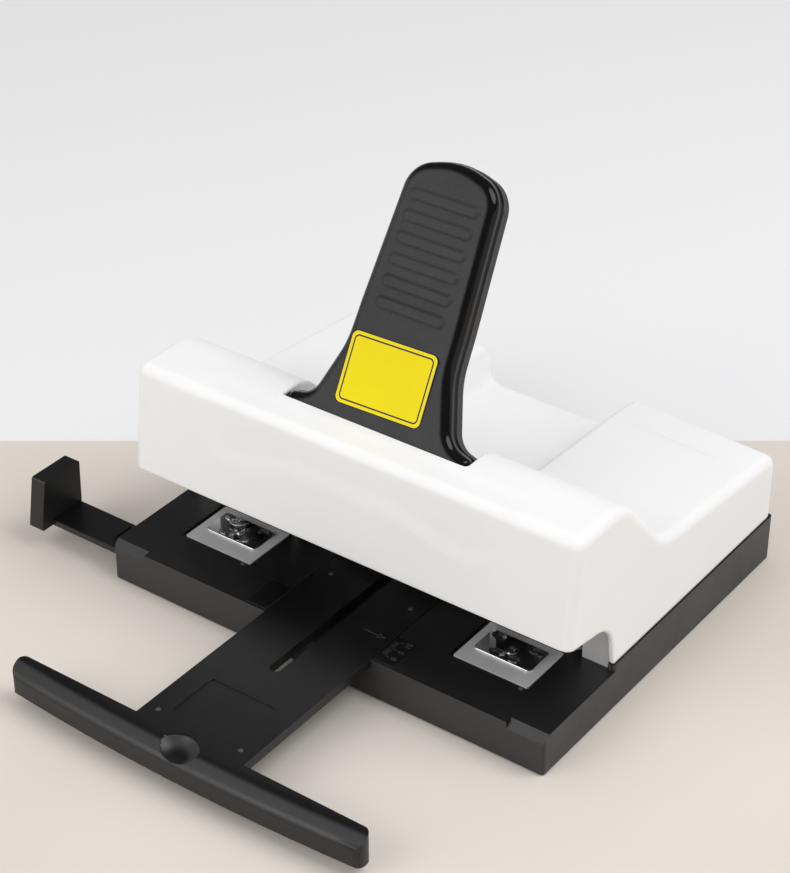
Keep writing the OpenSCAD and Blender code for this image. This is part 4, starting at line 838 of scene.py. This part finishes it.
# Coil spring: a wire along a spiral, closed by a flat ring at each end
def makeCoilTree():
    tree, given, gives = newTree("coilSpring", {"Turns": "Float", "Radius": "Float", "Length": "Float",
                                                "Wire": "Float", "Rotation": "Rotation"})
    radius, length = given["Radius"], given["Length"]
    spiral = geoNode(tree, "CurveSpiral", Resolution=20, Rotations=given["Turns"], Start_Radius=radius,
                     End_Radius=radius, Height=length)
    ring = geoNode(tree, "CurvePrimitiveCircle", Resolution=20, Radius=radius)
    wire = geoNode(tree, "CurvePrimitiveCircle", Resolution=8, Radius=given["Wire"])
    path = joinNode(tree, spiral, ring, liftNode(tree, ring, length))
    coil = geoNode(tree, "CurveToMesh", Curve=path, Profile_Curve=wire, Fill_Caps=True)
    return closeTree(tree, given, gives, coil)


coilTree = makeCoilTree()


def coilMesh(name, at, turn, s):
    return treeMesh(name, coilTree, [at], "brightSteel",
                    {"Turns": s["turns"], "Radius": s["radius"] * mm, "Length": s["length"] * mm,
                     "Wire": s["wire"] * mm, "Rotation": (turn, 0.0, 0.0)})


springs = {
    "returnSpring": {"at": (84.0, -31.0, 18.75), "turns": 9.0, "radius": 5.5, "wire": 0.62, "length": 33.5,
                     "node": "return_spring", "joint": "press_slide", "floor": 18.1, "keep": 0.443},
    "liftSpring": {"at": (67.7, -25.65, 7.1), "turns": 6.0, "radius": 4.45, "wire": 0.47, "length": 20.8,
                   "node": "lift_spring", "joint": "magazine{}_tip", "floor": 6.6, "keep": 0.58},
}
for name, s in springs.items():
    for hand, word, letter, sign in hands:
        x, y, z = sign * s["at"][0], *s["at"][1:]
        piece = newPiece(name + hand, coilMesh(name + hand, (x, y, z), 0.0, s), "base", "bright_steel", None,
                         s["node"] + word)
        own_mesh(piece)

# Pusher springs lie along the bore of each tilted staple rail
pusherSpring = {"x": 67.7, "start": (-39.29, 25.1), "length": 98.93, "hinge": (70.0, 26.5), "tilt": 5.6072,
                "radius": 2.3, "wire": 0.36, "turns": 56.0}
tilt, hinge = math.radians(pusherSpring["tilt"]), Vector(pusherSpring["hinge"])
start = hinge + Matrix.Rotation(-tilt, 2) @ (Vector(pusherSpring["start"]) - hinge)
for hand, word, letter, sign in hands:
    name, at = "pusherSpring" + hand, (sign * pusherSpring["x"], *start)
    made = coilMesh(name, at, -math.pi / 2 - tilt, pusherSpring)
    newPiece(name, made, "magazine" + letter, "bright_steel", None, "pusher_springs" + word)
print("stage: springs")


# Cross-head screws: chamfered head, shank and a cross cut into the head
def makeScrewTree():
    tree, given, gives = newTree("crossScrew", {"Head radius": "Float", "Head height": "Float",
                                                "Shank radius": "Float", "Shank length": "Float",
                                                "Rotation": "Rotation"})
    radius, height, length = given["Head radius"], given["Head height"], given["Shank length"]
    times = partial(mathNode, tree, "MULTIPLY")
    low = geoNode(tree, "MeshCylinder", Vertices=32, Radius=radius, Depth=times(height, 0.72))
    cap = geoNode(tree, "MeshCone", Vertices=32, Radius_Bottom=radius, Radius_Top=times(radius, 0.84),
                  Depth=times(height, 0.28))
    head = joinNode(tree, liftNode(tree, low, times(height, 0.36)), liftNode(tree, cap, times(height, 0.72)))
    bar = threeNode(tree, X=times(radius, 1.15), Y=times(radius, 0.24), Z=times(height, 1.3))
    slot = liftNode(tree, geoNode(tree, "MeshCube", Size=bar), times(height, 1.1))
    cut = tree.nodes.new("GeometryNodeMeshBoolean")
    cut.operation = "DIFFERENCE"
    feed(tree, cut.inputs["Mesh 1"], head)
    for part in (slot, geoNode(tree, "Transform", Geometry=slot, Rotation=(0, 0, math.pi / 2))):
        feed(tree, cut.inputs["Mesh 2"], part)
    shank = geoNode(tree, "MeshCylinder", Vertices=16, Radius=given["Shank radius"], Depth=length)
    whole = joinNode(tree, cut.outputs[0], liftNode(tree, shank, times(length, -0.5)))
    return closeTree(tree, given, gives, whole, False)


screwTree = makeScrewTree()
screwSets = {
    "baseScrewSet": {"spots": [(s * x, y, 1.5) for s in (-1, 1) for x, y in ((96.0, 50.0), (42.0, -52.3))],
                     "turn": math.pi, "headR": 3.0, "headH": 1.2, "shankR": 1.48, "shank": 8.5,
                     "body": "base", "node": "base_screws"},
    "leverScrewSet": {"spots": [leverPlace @ Vector((0, 5.8, d)) for d in lever["screws"]],
                      "turn": -math.pi / 2 - math.radians(lever["lean"]), "headR": 2.9, "headH": 1.1,
                      "shankR": 1.48, "shank": 8.5, "body": "lever", "node": "lever_screws"},
}
for name, s in screwSets.items():
    made = treeMesh(name, screwTree, s["spots"], "brightSteel",
                    {"Head radius": s["headR"] * mm, "Head height": s["headH"] * mm,
                     "Shank radius": s["shankR"] * mm, "Shank length": s["shank"] * mm,
                     "Rotation": (s["turn"], 0.0, 0.0)})
    newPiece(name, made, s["body"], "bright_steel", None, s["node"])


# Small moulded pips on the gauge and the table
def makePipTree():
    tree, given, gives = newTree("mouldedPips", {"Radius": "Float", "Flatten": "Vector"})
    ball = geoNode(tree, "MeshUVSphere", Segments=16, Rings=8, Radius=given["Radius"])
    return closeTree(tree, given, gives, geoNode(tree, "Transform", Geometry=ball, Scale=given["Flatten"]))


# A row of equal bars, such as the ticks of the margin scale
def makeTickTree():
    tree, given, gives = newTree("scaleTicks", {"Count": "Int", "Step": "Vector", "Bar": "Vector"})
    row = geoNode(tree, "MeshLine", Count=given["Count"], Offset=given["Step"])
    bar = geoNode(tree, "MeshCube", Size=given["Bar"])
    bars = geoNode(tree, "InstanceOnPoints", Points=row, Instance=bar)
    return closeTree(tree, given, gives, bars, False)


pipTree, tickTree = makePipTree(), makeTickTree()
pips = {"gauge": [(x, y, 18) for y in (-157.9, -51.5) for x in (-20, 20)],
        "table": [(-53.1, -67.4, 18), (82.9, -67.4, 18)], "radius": 1.05, "flatten": (1.0, 1.0, 0.4)}
for name, body in (("gauge", "depth_gauge"), ("table", "base")):
    made = treeMesh(name + "Pips", pipTree, pips[name], "raisedMarks",
                    {"Radius": pips["radius"] * mm, "Flatten": pips["flatten"]})
    newPiece(name + "Pips", made, body, "black_shell", None)

# Margin scale: millimetre ticks, longer at 0, 5 and 10, and three figures
scale = {"x": 27.6, "zero": -81.5, "top": 18.0, "rise": 0.12, "thick": 0.22, "figureX": 33.6, "figureH": 2.5,
         "capShare": 0.7, "figures": (0, 5, 10),
         "rows": (("scaleTicks", 11, 1.0, 2.0), ("scaleLongTicks", 3, 5.0, 3.4))}
for name, count, step, length in scale["rows"]:
    spot = (scale["x"] + length / 2, scale["zero"], scale["top"])
    made = treeMesh(name, tickTree, [spot], "raisedMarks",
                    {"Count": count, "Step": (0.0, step * mm, 0.0),
                     "Bar": (length * mm, scale["thick"] * mm, 2 * scale["rise"] * mm)})
    newPiece(name, made, "base", "black_shell", None)


def figureMesh(text, s):
    curve = bpy.data.curves.new("figure" + text, "FONT")
    curve.body, curve.size, curve.extrude = text, s["figureH"] * mm / s["capShare"], s["rise"] * mm
    curve.align_x, curve.align_y = "CENTER", "CENTER"
    made = settled(addObject("figureHolder", curve), "scaleFigure" + text)
    bpy.data.curves.remove(curve)
    return made


for value in scale["figures"]:
    made = figureMesh(str(value), scale)
    spot = Vector((scale["figureX"], scale["zero"] + value, scale["top"])) * mm
    made.transform(Matrix.Translation(spot) @ Matrix.Rotation(math.pi / 2, 4, "Z"))
    newPiece("scaleFigure" + str(value), made, "base", "black_shell", "raisedMarks")

# Arrow on the gauge that points at the scale
arrow = {"y": -72.9, "tail": 13.0, "tip": 23.0, "head": 3.2, "half": 1.25, "line": 0.16, "top": 18.0,
         "rise": 0.12}


def makeArrow(a):
    a, shape = SimpleNamespace(**a), bmesh.new()
    neck, tip = a.tip - a.head, (a.tip, a.y)
    low, high = (neck, a.y - a.half), (neck, a.y + a.half)
    for p, q in (((a.tail, a.y), (neck, a.y)), (low, tip), (high, tip), (low, high)):
        p, q = Vector((*p, a.top)), Vector((*q, a.top))
        turn = Matrix.Rotation(math.atan2(q.y - p.y, q.x - p.x), 4, "Z")
        size = Matrix.Diagonal(((q - p).length + 2 * a.line, 2 * a.line, 2 * a.rise, 1))
        bmesh.ops.create_cube(shape, size=1, matrix=Matrix.Translation((p + q) / 2) @ turn @ size)
    shape.transform(Matrix.Scale(mm, 4))
    return meshOf("gaugeArrow", shape)


newPiece("gaugeArrow", makeArrow(arrow), "depth_gauge", "black_shell", "raisedMarks")
print("stage: screws, pips, scale and arrow")


# Solids left as they are, each with its finish
def pair(*stems):
    return [stem + hand[1] for stem in stems for hand in hands]


nodeFinishes = {
    "soleRubber": ["rubber_sole"],
    "pusherBlack": pair("pusher", "pusher_rod"),
    "satinSteel": [*pair("magazine", "nose", "staple_rail"), "bottom_plate", "lever_core"],
    "seatSteel": pair("side_frame"),
    "frameSteel": [*pair("frame_plate", "hinge_bracket", "cam"), "press_bar", "shaft_clips"],
    "brightSteel": [*pair("driver"), "frame_spacers", "frame_screws", "guide_posts", "cover_screws",
                    "hinge_pins", "gauge_guide_screw", "lever_shaft", "driver_screws"],
    "anvilChrome": ["anvil_rivets"],
    "bushBrass": ["shaft_bushes", "post_bushes"],
}
for name, members in nodeFinishes.items():
    for member in members:
        nodes[member].data.materials.clear()
        nodes[member].data.materials.append(finishes[name])
print("stage: solids finished")

# Stage: a pale desk that gives way to a light backdrop, a soft key from above and a weak fill
stage = {"half": 3.0, "drop": 0.0003, "desk": ((0.66, 0.604, 0.545), (0.705, 0.655, 0.60)), "patch": 0.25,
         "backdrop": (0.80, 0.80, 0.81), "edgeAt": 0.0975, "edgeHalf": 0.001, "rough": 0.6, "specular": 0.15,
         "world": 0.66, "back": 0.88, "overhead": 0.16, "fadeUp": (0.06, 0.34), "aim": (0, 0, 0.04),
         "key": (13.6, (0.9, 0.3, 1.4), 1.2), "fill": (8.0, (-0.5, -1.3, 0.8), 1.2)}


def makeDesk(s):
    s, mesh = SimpleNamespace(**s), bpy.data.meshes.new("desk")
    mesh.from_pydata([(x * s.half, y * s.half, -s.drop) for x, y in fourWays], [], [(0, 1, 2, 3)])
    material, tree, shader = startMaterial("deskPale")
    place = placeOf(tree)
    way = (Vector(photoView["target"][:2]) - Vector(photoView["eye"][:2])).normalized()
    along = vectorNode(tree, "DOT_PRODUCT", place, (*way, 0.0))["Value"]
    far = rampNode(tree, along, s.edgeAt - s.edgeHalf, s.edgeAt + s.edgeHalf)
    drift = rampNode(tree, noiseNode(tree, place, s.patch, 3.0), 0.3, 0.7)
    tone = mixColours(tree, far, mixColours(tree, drift, *s.desk), s.backdrop)
    fill(tree, shader, Base_Color=tone, Roughness=s.rough, Specular_IOR_Level=s.specular)
    mesh.materials.append(material)
    addObject("desk", mesh)


def makeLamp(name, power, at, size):
    data = bpy.data.lights.new(name, "AREA")
    data.energy, data.shape, data.size = power, "DISK", size
    aim(addObject(name, data), at, stage["aim"])


def makeWorld(s):
    scene.world = bpy.data.worlds.new("studio")
    scene.world.use_nodes = True
    tree = scene.world.node_tree
    tree.nodes.clear()
    out, ground = tree.nodes.new("ShaderNodeOutputWorld"), tree.nodes.new("ShaderNodeBackground")
    rays = tree.nodes.new("ShaderNodeLightPath").outputs
    mirrored = mathNode(tree, "MAXIMUM", rays["Is Glossy Ray"], rays["Is Transmission Ray"])
    seen = mathNode(tree, "MAXIMUM", rays["Is Camera Ray"], mirrored)
    up = splitNode(tree, placeOf(tree, "Generated"))[2]
    backdrop = rampNode(tree, up, *s["fadeUp"], s["back"], s["overhead"])
    strength = rampNode(tree, seen, 0.0, 1.0, s["world"], backdrop, False)
    fill(tree, ground, Color=(1.0, 1.0, 1.0, 1.0), Strength=strength)
    feed(tree, out.inputs[0], ground.outputs[0])


makeDesk(stage)
makeWorld(stage)
makeLamp("keyLamp", *stage["key"])
makeLamp("fillLamp", *stage["fill"])
print("stage: desk and light")
